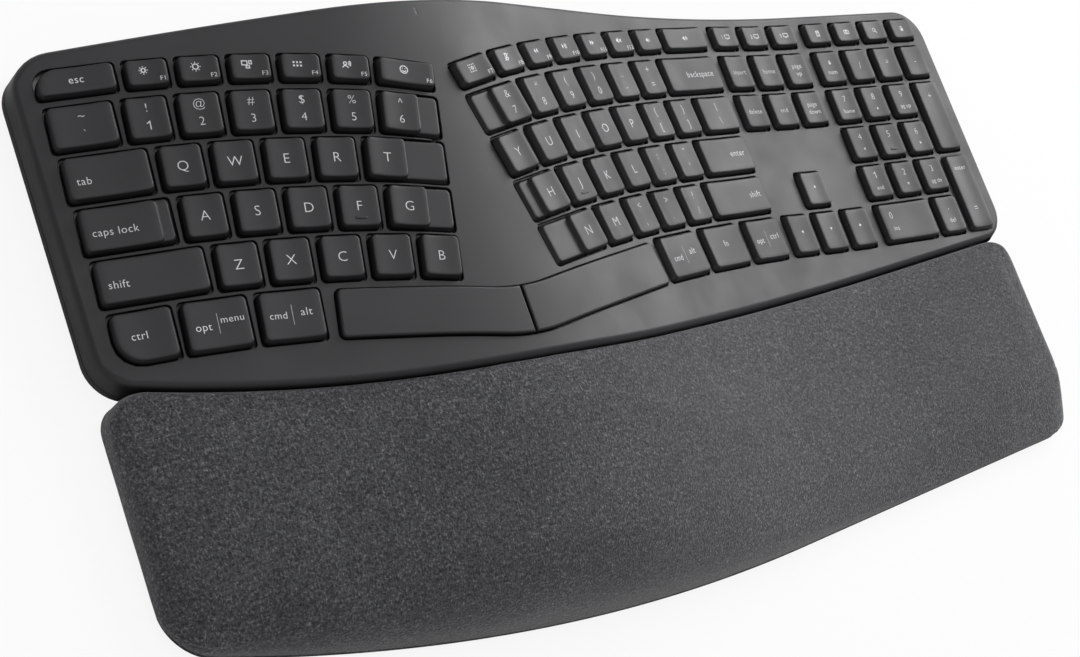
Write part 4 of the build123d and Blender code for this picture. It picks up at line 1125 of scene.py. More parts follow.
# %% [markdown]
# Every opening is the foot of its cap with a small gap, carried along the cap's own axis to the
# deck, so that the gap stays even on the slope too. The slender window of the status light gets a
# plain slot.

# %% Openings
OPENING_GAP = 0.4
OPENING_CORNER = 1.7
OPENING_FRONT_CORNER = 10.2
OPENING_BACK_CORNER = 8.4
OPENING_BELOW = 2.5
OPENING_ROLL = 0.35
BAR_GAP = 0.5
LIGHT_GAP = 0.1


def opening_plan(cap):
    """Where a cap's opening meets the deck, seen from above."""
    across = cap.width / 2 + CAP_FLARE + OPENING_GAP
    along = cap.depth / 2 + CAP_FLARE + OPENING_GAP
    radii = [OPENING_CORNER] * 4
    if cap.corner == "front":
        radii[0] = OPENING_FRONT_CORNER
    if cap.corner == "back":
        radii[3] = OPENING_BACK_CORNER
    ring = round_polygon(block(-across, -along, across, along), radii, 4)
    return [cap.at(u, v, -OPENING_BELOW)[:2] for u, v in ring]


holes = [inset_polygon(opening_plan(cap), -OPENING_ROLL) for cap in every_cap]
holes.append(bar_plan(BAR_GAP + OPENING_ROLL))
light_low, light_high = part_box("status_light")
holes.append(block(light_low[0] * 1000 - LIGHT_GAP, light_low[1] * 1000 - LIGHT_GAP,
                   light_high[0] * 1000 + LIGHT_GAP, light_high[1] * 1000 + LIGHT_GAP))
print("openings:", len(holes))

# %% [markdown]
# A flat fill would leave long triangles across the wave, and the deck would look faceted. So
# straight lines from front to back are added where the wave bends, closer together on the arc of
# the crest, and the triangles are made to keep them as edges. Triangles inside an opening are
# dropped.

# %% Lines across the wave
CREST_STEP = 4.5
PLAIN_STEP = 9.0
LINE_MARGIN = 1.2
flat_points = [Vector(p) for p in rim]
flat_edges = [(i, (i + 1) % len(rim)) for i in range(len(rim))]
for hole in holes:
    start = len(flat_points)
    flat_points += [Vector(p) for p in hole]
    flat_edges += [(start + i, start + (i + 1) % len(hole)) for i in range(len(hole))]
x = -HALF + RIM_ROUND + 3.0
while x < FLAT_X + 1:
    low = deck_front(x, RIM_ROUND) + LINE_MARGIN
    high = BACK_Y - RIM_ROUND - LINE_MARGIN
    if x < -HALF + CORNER:
        dip = CORNER - math.sqrt(max(CORNER**2 - (x + HALF - CORNER) ** 2, 0))
        low += dip + 2
        high -= dip
    start = len(flat_points)
    flat_points += [Vector((x, low)), Vector((x, high))]
    flat_edges.append((start, start + 1))
    x += CREST_STEP if LEFT_T - 2 < x < RIGHT_T + 2 else PLAIN_STEP
print("flat points:", len(flat_points), "edges:", len(flat_edges))

# %% Triangulate the deck
def inside(point, ring):
    """Whether a point lies in a polygon."""
    x, y = point
    result = False
    j = len(ring) - 1
    for i in range(len(ring)):
        xi, yi = ring[i]
        xj, yj = ring[j]
        if (yi > y) != (yj > y) and x < (xj - xi) * (y - yi) / (yj - yi) + xi:
            result = not result
        j = i
    return result


def in_hole(point):
    """Whether a point lies in any opening."""
    for hole, (x0, x1, y0, y1) in zip(holes, boxes):
        if x0 < point[0] < x1 and y0 < point[1] < y1 and inside(point, hole):
            return True
    return False


filled = geometry.delaunay_2d_cdt(flat_points, flat_edges, [], 0, 1e-4)
out_points = filled[0]
boxes = []
for hole in holes:
    xs = [x for x, y in hole]
    ys = [y for x, y in hole]
    boxes.append((min(xs), max(xs), min(ys), max(ys)))
kept = []
for face in filled[2]:
    middle = (sum(out_points[i].x for i in face) / 3, sum(out_points[i].y for i in face) / 3)
    if inside(middle, rim) and not in_hole(middle):
        kept.append(face)
print("deck triangles:", len(kept), "of", len(filled[2]))

# %% [markdown]
# Now the plan is lifted: each point goes to the height of the wave, and the same triangles, turned
# over and one wall lower, close the underside. What is left open is one loop around the rim and one
# around each opening.

# %% Find the open loops
def boundary_loops(faces):
    """Closed loops of the edges that only one face uses, in the faces' own direction."""
    used = {}
    for face in faces:
        for i in range(len(face)):
            used[(face[i], face[(i + 1) % len(face)])] = True
    ways = {}
    for a, b in used:
        if (b, a) not in used:
            ways.setdefault(a, []).append(b)
    loops = []
    while ways:
        start = next(iter(ways))
        loop = [start]
        here = start
        while True:
            options = ways[here]
            after = options.pop()
            if not options:
                del ways[here]
            if after == start:
                break
            loop.append(after)
            here = after
        loops.append(loop)
    return loops


def leftward(a, b, c):
    """Above zero where three points in plan turn to the left."""
    return (b.x - a.x) * (c.y - a.y) - (b.y - a.y) * (c.x - a.x)


print("loop finder ready")

# %% Lift the deck
oriented = []
for face in kept:
    a, b, c = (out_points[i] for i in face)
    oriented.append(tuple(face) if leftward(a, b, c) > 0 else tuple(reversed(face)))
used_points = sorted({i for face in oriented for i in face})
index = {old: new for new, old in enumerate(used_points)}
plan_points = [(out_points[i].x, out_points[i].y) for i in used_points]
oriented = [tuple(index[i] for i in face) for face in oriented]
deck = Build()
deck.ring([(x, y, deck_z(x)) for x, y in plan_points])
under = deck.ring([(x, y, deck_z(x) - COVER_WALL) for x, y in plan_points])
for face in oriented:
    deck.faces.append(face)
    deck.faces.append(tuple(under[i] for i in reversed(face)))
loops = boundary_loops(oriented)
print("points on the deck:", len(plan_points), "loops:", len(loops))

# %% [markdown]
# A mould leaves no knife edges. The rim rolls down in a quarter circle to a short wall and a small
# chamfer at the parting line, and every opening has a small roll before its wall. A bevel modifier
# could overlap in the tight places between the keys, so both rolls are rings of insets of the same
# outline.

# %% Roll the rim and the openings
PARTING_STEP = 0.3
PARTING_INSET = 0.25
LIGHT_ROLL = 0.05
OPENING_STAGES = ((0.3, 0.05), (0.75, 0.25), (1.0, 1.0), (1.0, 2.4))


def roll_rim(loop, plan):
    """Rings over the round rim and down to the parting line."""
    rings = [loop]
    for step in range(1, 7):
        angle = math.radians(90 * step / 6)
        ring = inset_polygon(plan, -RIM_ROUND * math.sin(angle))
        drop = RIM_ROUND * (1 - math.cos(angle))
        rings.append(deck.ring([(x, y, deck_z(inner[0]) - drop) for (x, y), inner in zip(ring, plan)]))
    outer = [deck.points[i] for i in rings[-1]]
    rings.append(deck.ring([(x, y, PARTING_Z + PARTING_STEP) for x, y, z in outer]))
    low_outer = inset_polygon([(x, y) for x, y, z in outer], PARTING_INSET)
    rings.append(deck.ring([(x, y, PARTING_Z) for x, y in low_outer]))
    rings.append(deck.ring([(x, y, PARTING_Z) for x, y in plan]))
    return rings


def roll_opening(loop, plan):
    """Rings into an opening: a small roll, then the wall, square to the wave."""
    rings = [loop]
    middle_x = sum(x for x, y in plan) / len(plan)
    tilt = (deck_z(middle_x + 1) - deck_z(middle_x - 1)) / 2
    roll = OPENING_ROLL if len(plan) > 6 else LIGHT_ROLL
    for share, drop in OPENING_STAGES:
        ring = inset_polygon(plan[::-1], share * roll)[::-1]
        depth = drop * roll if drop < 1.5 else COVER_WALL
        rings.append(deck.ring([
            (x + tilt * depth, y, deck_z(outer[0]) - depth) for (x, y), outer in zip(ring, plan)
        ]))
    return rings


print("rings in an opening:", len(OPENING_STAGES) + 2)

# %% Close the deck
def plan_area(loop):
    """Signed area of a loop in plan."""
    return sum(
        plan_points[a][0] * plan_points[b][1] - plan_points[b][0] * plan_points[a][1]
        for a, b in zip(loop, loop[1:] + loop[:1])
    ) / 2


for loop in loops:
    plan = [plan_points[i] for i in loop]
    rings = roll_rim(loop, plan) if plan_area(loop) > 0 else roll_opening(loop, plan)
    rings.append([under[i] for i in loop])
    for upper, lower in zip(rings, rings[1:]):
        for i in range(len(upper)):
            j = (i + 1) % len(upper)
            deck.faces.append((upper[j], upper[i], lower[i], lower[j]))
cover = link("deck_cover", deck.mesh("deck_cover"), deck_plastic, angle=40.0)
print("cover faces:", len(cover.data.polygons))

# %% [markdown]
# The power switch sits in a slot in the back wall. One slot in a plain wall is what a boolean does
# well. Its size follows the slider of the frame with its travel, so that the slider keeps clear at
# both ends. Booleans upset the shading of the curved top, so the corners on the wave get the wave's
# own normals back.

# %% Box and baking helpers
def box_build(low, high):
    """A closed box from corner to corner."""
    build = Build()
    plan = block(low[0], low[1], high[0], high[1])
    foot, top = (build.ring([(x, y, z) for x, y in plan]) for z in (low[2], high[2]))
    build.cap_off(foot, upward=False)
    build.bridge(foot, top)
    build.cap_off(top)
    return build


def apply_modifiers(piece):
    """The piece's evaluated mesh takes the place of its plain one."""
    graph = bpy.context.evaluated_depsgraph_get()
    baked = bpy.data.meshes.new_from_object(piece.evaluated_get(graph))
    baked.name = piece.name
    piece.modifiers.clear()
    piece.data = baked
    return piece


def wave_normals(mesh, lift):
    """Corners that lie on the wave, lifted by lift, take the wave's own normal."""
    normals = [Vector(corner.vector) for corner in mesh.corner_normals]
    for place, corner in enumerate(mesh.loops):
        point = mesh.vertices[corner.vertex_index].co / MM
        if abs(point.z - deck_z(point.x) - lift) < 0.012:
            across = Vector((deck_z(point.x - 0.5) - deck_z(point.x + 0.5), 0.0, 1.0)).normalized()
            if normals[place].dot(across) > 0.6:
                normals[place] = across
    mesh.normals_split_custom_set(normals)


print("helpers for the slot ready")

# %% Slot for the power switch
SLOT_GAP = 0.3
SWITCH_TRAVEL = 3.0
knob_low, knob_high = (tuple(value * 1000 for value in corner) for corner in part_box("power_switch_slider"))
slot_low = (knob_low[0] - SLOT_GAP, BACK_Y - 6, knob_low[2] - SLOT_GAP)
slot_high = (knob_high[0] + SWITCH_TRAVEL + SLOT_GAP, BACK_Y + 4, knob_high[2] + SLOT_GAP)
cutter = link("slot_cutter", box_build(slot_low, slot_high).mesh("slot_cutter"))
cut = cover.modifiers.new("slot", "BOOLEAN")
cut.operation = "DIFFERENCE"
cut.solver = "EXACT"
cut.object = cutter
apply_modifiers(cover)
bpy.data.objects.remove(cutter)
for polygon in cover.data.polygons:
    polygon.use_smooth = True
mark_sharp(cover.data, 40.0)
wave_normals(cover.data, 0.0)
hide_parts("top_cover")
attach(cover, BODY)
print("cover faces after the slot:", len(cover.data.polygons))

# %% [markdown]
# The two space bars are long caps that follow the wave and meet at the crest with a thin gap. A
# flat cap bent by a curve modifier would twist at the bend. Here the shared plan is cut at the
# crest, its edge is rolled in rings like a cap's, and the top is filled with strips of triangles
# that lie on the wave.

# %% Outline of one bar
BAR_SPLIT = 0.8
BAR_STEP = 3.0


def bar_outline(side):
    """The plan of one bar: both bars' plan cut at the crest, without double points."""
    whole = bar_plan(0.0)
    split_x = CREST_X + side * BAR_SPLIT / 2
    clipped = []
    for i, here in enumerate(whole):
        after = whole[(i + 1) % len(whole)]
        here_in = (here[0] - split_x) * side >= 0
        after_in = (after[0] - split_x) * side >= 0
        if here_in:
            clipped.append(here)
        if here_in != after_in:
            share = (split_x - here[0]) / (after[0] - here[0])
            clipped.append((split_x, here[1] + (after[1] - here[1]) * share))
    cleaned = []
    for point in clipped:
        if not cleaned or math.hypot(point[0] - cleaned[-1][0], point[1] - cleaned[-1][1]) > 0.05:
            cleaned.append(point)
    return resample(cleaned, BAR_STEP)


print("points around the bars:", [len(bar_outline(side)) for side in (-1, 1)])

# %% Fill the top of a bar
STRIP_START = 3.0
STRIP_END = 2.0
STRIP_STEP = 3.5


def strip_points(outline):
    """Points inside the top in rows from front to back, for triangles that follow the wave."""
    points = []
    ring = [(p.x, p.y) for p in outline]
    x = min(x for x, y in ring) + STRIP_START
    last = max(x for x, y in ring) - STRIP_END
    while x < last:
        spans = []
        for i, a in enumerate(ring):
            b = ring[(i + 1) % len(ring)]
            if (a[0] > x) != (b[0] > x):
                spans.append(a[1] + (b[1] - a[1]) * (x - a[0]) / (b[0] - a[0]))
        spans.sort()
        if len(spans) >= 2 and spans[-1] - spans[0] > 3:
            for share in (0.12, 0.5, 0.88):
                points.append(Vector((x, spans[0] + (spans[-1] - spans[0]) * share)))
        x += STRIP_STEP
    return points


def fill_bar(build, top):
    """The last ring closed by triangles on the wave."""
    outline = [Vector(build.points[i][:2]) for i in top]
    edges = [(i, (i + 1) % len(top)) for i in range(len(top))]
    filled = geometry.delaunay_2d_cdt(outline + strip_points(outline), edges, [], 1, 1e-4)
    made = filled[0]
    used = []
    for i, point in enumerate(made):
        if i < len(top) and (outline[i] - point).length < 1e-3:
            used.append(top[i])
        else:
            build.points.append((point.x, point.y, deck_z(point.x) + BAR_RISE))
            used.append(len(build.points) - 1)
    for face in filled[2]:
        a, b, c = (made[i] for i in face)
        ordered = face if leftward(a, b, c) > 0 else list(reversed(face))
        build.faces.append(tuple(used[i] for i in ordered))


print("a row of points every", STRIP_STEP, "mm")

# %% Space bars
BAR_SKIRT = 1.8
BAR_ROUND = 0.9


def build_bar(side):
    """One space bar: a skirt, a rolled edge and a filled top."""
    plan = bar_outline(side)
    build = Build()
    rings = [build.ring([(x, y, deck_z(x) - BAR_SKIRT) for x, y in plan])]
    for step in range(6):
        angle = math.radians(90 * step / 5)
        ring = inset_polygon(plan, BAR_ROUND * (1 - math.cos(angle)))
        drop = BAR_ROUND * (1 - math.sin(angle))
        rings.append(build.ring([(x, y, deck_z(x) + BAR_RISE - drop) for x, y in ring]))
    build.cap_off(rings[0], upward=False)
    for low_ring, high_ring in zip(rings, rings[1:]):
        build.bridge(low_ring, high_ring)
    fill_bar(build, rings[-1])
    return build


for side, bar_name in ((-1, "left_space_bar"), (1, "right_space_bar")):
    piece = link(bar_name + "_cap", build_bar(side).mesh(bar_name + "_cap"), cap_plastic, angle=50.0)
    wave_normals(piece.data, BAR_RISE)
    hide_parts(bar_name)
    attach(piece, bar_name)
    print(bar_name, len(piece.data.polygons))

# %% [markdown]
# The palm rest is knitted cloth drawn over foam: flat on top, falling gently and then steeply to
# its front edge, and drawn in at its ends. Sculpting could reach this, but not twice the same. So
# the section across it is computed from the same wave as the deck, and sections at chosen places
# along x are joined to a closed cage.

# %% Edges of the cushion
PALM_LOW = 2.8
PALM_GAP = 0.4
END_ROUND = 7.0
END_ANGLES = [math.radians(angle) for angle in (0, 12, 24, 36, 47, 58, 69, 90)]
END_SHARES = [1 - CORNER * (1 - math.sin(angle)) / HALF for angle in END_ANGLES]
MIDDLE_SHARES = [-0.88, -0.8, -0.73, -0.66, -0.55, -0.456, -0.395, -0.338, -0.276, -0.2, -0.13, -0.06, 0.0,
                 0.08, 0.16, 0.24, 0.33, 0.42, 0.53, 0.65, 0.74, 0.82, 0.88]
STATION_SHARES = [-share for share in reversed(END_SHARES)] + MIDDLE_SHARES + END_SHARES


def palm_edges(x):
    """Back edge, front edge and crown of the cushion at x, tucked in at its ends."""
    back = deck_front(x) - PALM_GAP
    front = palm_front(x)
    reach = HALF - abs(x)
    part = min(max((CORNER - reach) / CORNER, 0.0), 1.0)
    tuck = CORNER * (1 - math.sqrt(1 - part**2))
    end_part = min(max((END_ROUND - reach) / END_ROUND, 0.0), 1.0)
    return back - tuck, front + tuck, math.sqrt(1 - end_part**2)


print("sections along the palm rest:", len(STATION_SHARES))

# %% [markdown]
# A section runs from the back foot up to a rounded shoulder, along the flat top, down a slight
# fall, a gentle slope and three steep facets to the nose, and back along the bottom. The lengths of
# the gentle and the steep parts come from two equations, so that the section ends on the front edge
# at every x.

# %% Section of the cushion
PALM_STEEPS = [math.radians(angle) for angle in (40.0, 60.0, 80.0)]
PALM_GENTLE = math.radians(20.0)
PALM_FALL = math.radians(7.0)
NOSE_Z = 4.5
TOP_DROP = 1.2
FALL_LEAST = 1.4
FALL_MORE = 3.6
ROLL_LEAST = 15.0
ROLL_MORE = 15.0
ROLL_LIMIT = 2.4
SHOULDER = 3.2


def palm_section(x):
    """Corners of the section across the cushion, from the back foot over the top to the front foot."""
    back, front, crown = palm_edges(x)
    height = min(max((deck_z(x) - FLAT_Z) / (CREST_Z - FLAT_Z), 0), 1)
    least_top = NOSE_Z * 2
    top = least_top + (deck_z(x) - TOP_DROP - least_top) * crown
    fall = (FALL_LEAST + FALL_MORE * height) * max(crown, 0.3)
    drop = top - fall - NOSE_Z
    roll = min(ROLL_LEAST + ROLL_MORE * height, drop * ROLL_LIMIT)
    steep_run = sum(math.cos(angle) for angle in PALM_STEEPS)
    steep_drop = sum(math.sin(angle) for angle in PALM_STEEPS)
    span = math.cos(PALM_GENTLE) * steep_drop - steep_run * math.sin(PALM_GENTLE)
    gentle = (steep_drop * roll - steep_run * drop) / span
    steep = (math.cos(PALM_GENTLE) * drop - math.sin(PALM_GENTLE) * roll) / span
    y = front + roll + fall / math.tan(PALM_FALL)
    points = [(back, PALM_LOW), (back, PALM_LOW + 1.0), (back, (PALM_LOW + top) / 2), (back, top - SHOULDER)]
    points += [(back - SHOULDER * 0.3, top - SHOULDER * 0.3), (back - SHOULDER, top)]
    for share in (0.2, 0.4, 0.6, 0.8, 1.0):
        points.append((back - SHOULDER + (y - back + SHOULDER) * share, top))
    runs = [(PALM_FALL, fall / math.sin(PALM_FALL) / 2)] * 2 + [(PALM_GENTLE, gentle)]
    runs += [(angle, steep) for angle in PALM_STEEPS]
    for angle, length in runs:
        last = points[-1]
        points.append((last[0] - length * math.cos(angle), last[1] - length * math.sin(angle)))
    points += [(front, NOSE_Z - 0.5), (front + 0.2, PALM_LOW)]
    points += [(front + 2.5, PALM_LOW), ((front + back) / 2, PALM_LOW), (back - 2.5, PALM_LOW)]
    return points


print("points in a section:", len(palm_section(0.0)))

# %% Join the sections
def sweep(section, shares):
    """A closed mesh through the sections at each share of the half width."""
    build = Build()
    rings = []
    for share in shares:
        x = share * HALF
        rings.append(build.ring([(x, y, z) for y, z in section(x)]))
    build.cap_off(rings[0])
    build.cap_off(rings[-1], upward=False)
    for one, two in zip(rings, rings[1:]):
        build.bridge(two, one)
    return build


def tidy_normals(mesh):
    """All faces point outwards."""
    work = bmesh.new()
    work.from_mesh(mesh)
    bmesh.ops.recalc_face_normals(work, faces=work.faces)
    work.to_mesh(mesh)
    work.free()


cushion_mesh = sweep(palm_section, STATION_SHARES).mesh("palm_cushion")
tidy_normals(cushion_mesh)
cushion = link("palm_cushion", cushion_mesh, knit_cloth, angle=180.0)
print("cage faces:", len(cushion_mesh.polygons))

# %% [markdown]
# Subdivision makes the cage smooth, but it also pulls it inwards where it is rounded. So the cage
# is pushed out first: the smoothed place of each cage point is compared with where it should be,
# and the difference is added, three times over.

# %% Smooth the cushion
FIT_ROUNDS = 3
FIT_SHARE = 0.9
targets = [vertex.co.copy() for vertex in cushion.data.vertices]
levels = cushion.modifiers.new("levels", "SUBSURF")
levels.levels = 2
levels.render_levels = 2
for fit_round in range(FIT_ROUNDS):
    graph = bpy.context.evaluated_depsgraph_get()
    smoothed = cushion.evaluated_get(graph).to_mesh()
    limits = [smoothed.vertices[i].co.copy() for i in range(len(targets))]
    cushion.evaluated_get(graph).to_mesh_clear()
    for vertex, target, limit in zip(cushion.data.vertices, targets, limits):
        vertex.co += (target - limit) * FIT_SHARE
    cushion.data.update()
    worst = max((target - limit).length for target, limit in zip(targets, limits))
    print("fit round", fit_round + 1, "furthest point was off by", round(worst / MM, 2), "mm")
apply_modifiers(cushion)

# %% [markdown]
# Stretched cloth over foam is never quite flat: it swells a little between its seams. A cloth
# simulation with pressure inside shows where. It needs even faces, which the smoothed cushion
# doesn't have, so it runs on an even copy, the balloon, and each point of the cushion takes the
# mean motion of the balloon's nearest points, outwards only and up to a limit.

# %% Cloth simulation on an even copy
VOXEL = 0.0035
PIN_HEIGHT = 0.0022
PRESSURE = 2.0
CLOTH_FRAMES = 12


def inflate(piece):
    """Starting points and motions of an even copy of the piece, swelled by a cloth simulation."""
    scene = bpy.context.scene
    balloon = bpy.data.objects.new("balloon", piece.data.copy())
    scene.collection.objects.link(balloon)
    remesh = balloon.modifiers.new("remesh", "REMESH")
    remesh.mode = "VOXEL"
    remesh.voxel_size = VOXEL
    apply_modifiers(balloon)
    start = [vertex.co.copy() for vertex in balloon.data.vertices]
    low = min(point.z for point in start)
    pins = balloon.vertex_groups.new(name="pins")
    pins.add([i for i, point in enumerate(start) if point.z < low + PIN_HEIGHT], 1.0, "REPLACE")
    cloth = balloon.modifiers.new("cloth", "CLOTH")
    cloth.settings.use_pressure = True
    cloth.settings.uniform_pressure_force = PRESSURE
    cloth.settings.effector_weights.gravity = 0.0
    cloth.settings.vertex_group_mass = "pins"
    cloth.settings.quality = 4
    for frame_number in range(1, CLOTH_FRAMES + 1):
        scene.frame_set(frame_number)
    graph = bpy.context.evaluated_depsgraph_get()
    moved = balloon.evaluated_get(graph).to_mesh()
    shifts = [vertex.co - point for vertex, point in zip(moved.vertices, start)]
    balloon.evaluated_get(graph).to_mesh_clear()
    balloon.modifiers.clear()
    scene.frame_set(1)
    bpy.data.objects.remove(balloon)
    return start, shifts


print("balloon faces will be", VOXEL / MM, "mm wide")

# %% Swell the cushion
NEAREST = 12
MOST_SWELL = 0.0012


def swell(piece):
    """The piece moved outwards like its inflated copy, up to a limit."""
    start, shifts = inflate(piece)
    tree = KDTree(len(start))
    for i, point in enumerate(start):
        tree.insert(point, i)
    tree.balance()
    normals = [vertex.normal.copy() for vertex in piece.data.vertices]
    total = 0.0
    for vertex, normal in zip(piece.data.vertices, normals):
        found = tree.find_n(vertex.co, NEAREST)
        weights = [1 / (distance + VOXEL) for point, i, distance in found]
        pushes = [weight * shifts[hit[1]].dot(normal) for weight, hit in zip(weights, found)]
        outward = min(max(sum(pushes) / sum(weights), 0.0), MOST_SWELL)
        vertex.co += normal * outward
        total += outward
    print("mean swell", round(total / len(normals) / MM, 2), "mm over", len(normals), "points")


swell(cushion)
print("cushion points:", len(cushion.data.vertices))

# %% [markdown]
# The swelled cloth may overhang its own outline by no more than a cloth's thickness, or it would
# cut into the deck and stand past the base. Its points are held to the outline with that allowance,
# and never go below the foot of the cloth.

# %% Hold the cloth to its outline
CLOTH_REACH = 0.5
SEAM_REACH = 0.1
cushion.data.materials.clear()
cushion.data.materials.append(knit_cloth)
for polygon in cushion.data.polygons:
    polygon.use_smooth = True
side = (HALF + CLOTH_REACH) * MM
for vertex in cushion.data.vertices:
    back, front, crown = palm_edges(max(min(vertex.co.x * 1000, HALF), -HALF))
    vertex.co.y = min(max(vertex.co.y, (front - CLOTH_REACH) * MM), (back + SEAM_REACH) * MM)
    vertex.co.x = min(max(vertex.co.x, -side), side)
    vertex.co.z = max(vertex.co.z, PALM_LOW * MM)
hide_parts("palm_rest_fabric")
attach(cushion, BODY)
spans = []
for axis in range(3):
    values = [vertex.co[axis] / MM for vertex in cushion.data.vertices]
    spans.append((round(min(values), 1), round(max(values), 1)))
print("cushion spans:", spans, "faces:", len(cushion.data.polygons))

# %% [markdown]
# The legends are printed in pale ink. They could be a decal, but the finishes here hold no
# pictures. Blender's own font, turned into flat faces, gives crisp letters, and a small negative
# offset thins the strokes to the light weight of the print. Each text is made once and kept,
# because many caps share words and sizes.

# %% Outlines of letters
THIN_ABOVE = 4.0
SMALL_ABOVE = 3.0
letter_cache = {}


def thinning(size):
    """How much of its size a text's strokes lose on each side: more on large letters."""
    if size > THIN_ABOVE:
        return 0.014
    return 0.005 if size > SMALL_ABOVE else 0.0


def letters(text, size):
    """Outline faces of a text at the baseline, in millimetres, with its width."""
    key = (text, size)
    if key not in letter_cache:
        curve = bpy.data.curves.new("text", "FONT")
        curve.body = text
        curve.size = size
        curve.resolution_u = 3
        curve.offset = -size * thinning(size)
        curve.space_character = 1.08
        holder = bpy.data.objects.new("text", curve)
        bpy.context.scene.collection.objects.link(holder)
        graph = bpy.context.evaluated_depsgraph_get()
        graph.update()
        made = bpy.data.meshes.new_from_object(holder.evaluated_get(graph))
        points = [(vertex.co.x, vertex.co.y) for vertex in made.vertices]
        faces = [tuple(polygon.vertices) for polygon in made.polygons]
        bpy.data.objects.remove(holder)
        bpy.data.curves.remove(curve)
        bpy.data.meshes.remove(made)
        low = min((x for x, y in points), default=0.0)
        high = max((x for x, y in points), default=0.0)
        letter_cache[key] = (points, faces, low, high)
    return letter_cache[key]


print("points in a Q:", len(letters("Q", 5.3)[0]))

# %% [markdown]
# The tops are dished, so flat letters would sink in at the sides or float in the middle. Every
# point of a letter is therefore laid on the dish's own formula and lifted by the thickness of the
# ink.

# %% Ink on a cap
INK_LIFT = 0.03


def put_text(build, cap, text, size, u, v, align="C"):
    """Lettering on a cap, its baseline at v."""
    points, faces, low, high = letters(text, size)
    shift = {"C": -(low + high) / 2, "L": -low, "R": -high}[align]
    start = len(build.points)
    for x, y in points:
        at_u = u + x + shift + cap.main_u()
        build.points.append(cap.at(at_u, v + y, cap.surface(at_u) + INK_LIFT))
    for face in faces:
        build.faces.append(tuple(start + i for i in face))


print("ink stands", INK_LIFT, "mm high")

# %% [markdown]
# Many caps carry small pictograms. Imported drawings would need files of their own. A few strokes
# of even width, arcs and blocks draw all of them in a square that is two units wide.

# %% Strokes and arcs
def strip(points, width, closed=False):
    """A line of constant width as quads with mitred corners."""
    count = len(points)
    sides = []
    for i in range(count):
        here = Vector(points[i])
        before = Vector(points[i - 1]) if closed or i > 0 else None
        after = Vector(points[(i + 1) % count]) if closed or i < count - 1 else None
        one = (here - before).normalized() if before is not None else (after - here).normalized()
        two = (after - here).normalized() if after is not None else one
        normal = Vector((-one.y - two.y, one.x + two.x))
        normal = normal.normalized() if normal.length > 1e-6 else Vector((-one.y, one.x))
        lean = max(normal.dot(Vector((-one.y, one.x))), 0.5)
        sides.append((here - normal * width / 2 / lean, here + normal * width / 2 / lean))
    quads = []
    for i in range(count if closed else count - 1):
        j = (i + 1) % count
        quads.append([sides[i][0], sides[j][0], sides[j][1], sides[i][1]])
    return quads


def arc(cx, cy, radius, start, end, steps=12):
    """Points along an arc, in degrees."""
    out = []
    for step in range(steps + 1):
        angle = math.radians(start + (end - start) * step / steps)
        out.append((cx + radius * math.cos(angle), cy + radius * math.sin(angle)))
    return out


print("quads in a ring:", len(strip(arc(0, 0, 1, 0, 330, 11), 0.2, True)))

# %% Parts of pictograms
LINE = 0.24
RAY_START = 0.24
RAY_END = 0.48
TRIANGLE = 0.62


def sun(radius):
    """A ring with eight rays."""
    parts = strip(arc(0, 0, radius, 0, 330, 11), LINE, True)
    for ray in range(8):
        angle = math.radians(45 * ray)
        a = (math.cos(angle) * (radius + RAY_START), math.sin(angle) * (radius + RAY_START))
        b = (math.cos(angle) * (radius + RAY_END), math.sin(angle) * (radius + RAY_END))
        parts += strip([a, b], LINE * 0.8)
    return parts


def speaker():
    """A loudspeaker's outline."""
    return [block(-1.0, -0.3, -0.62, 0.3), [(-0.62, -0.3), (-0.1, -0.75), (-0.1, 0.75), (-0.62, 0.3)]]


def triangle(x, side):
    """A triangle that points along side."""
    half = TRIANGLE / 2
    return [(x - side * half, -TRIANGLE), (x + side * half, 0.0), (x - side * half, TRIANGLE)]


def ring(x, y, radius, end=330, steps=11):
    """A closed round stroke."""
    return strip(arc(x, y, radius, 0, end, steps), LINE, True)


def bow(x, y, radius, start, end, steps):
    """An open round stroke."""
    return strip(arc(x, y, radius, start, end, steps), LINE)


def box(x0, y0, x1, y1):
    """A rectangle drawn as a stroke."""
    return strip(block(x0, y0, x1, y1), LINE, True)


def stroke(*points):
    """A straight or bent stroke through points."""
    return strip(list(points), LINE)


def squares(size, xs, ys):
    """A field of filled squares, column by column."""
    return [block(x, y, x + size, y + size) for x in xs for y in ys]


def frame_corners():
    """Eight dashes around a square."""
    dashes = []
    for x in (-0.8, -0.27, 0.27, 0.8):
        for y in (-0.8, 0.8):
            dashes += stroke((x - 0.16, y), (x + 0.16, y))
    for y in (-0.27, 0.27):
        for x in (-0.8, 0.8):
            dashes += stroke((x, y - 0.16), (x, y + 0.16))
    return dashes


print("quads in a sun:", len(sun(0.5)))

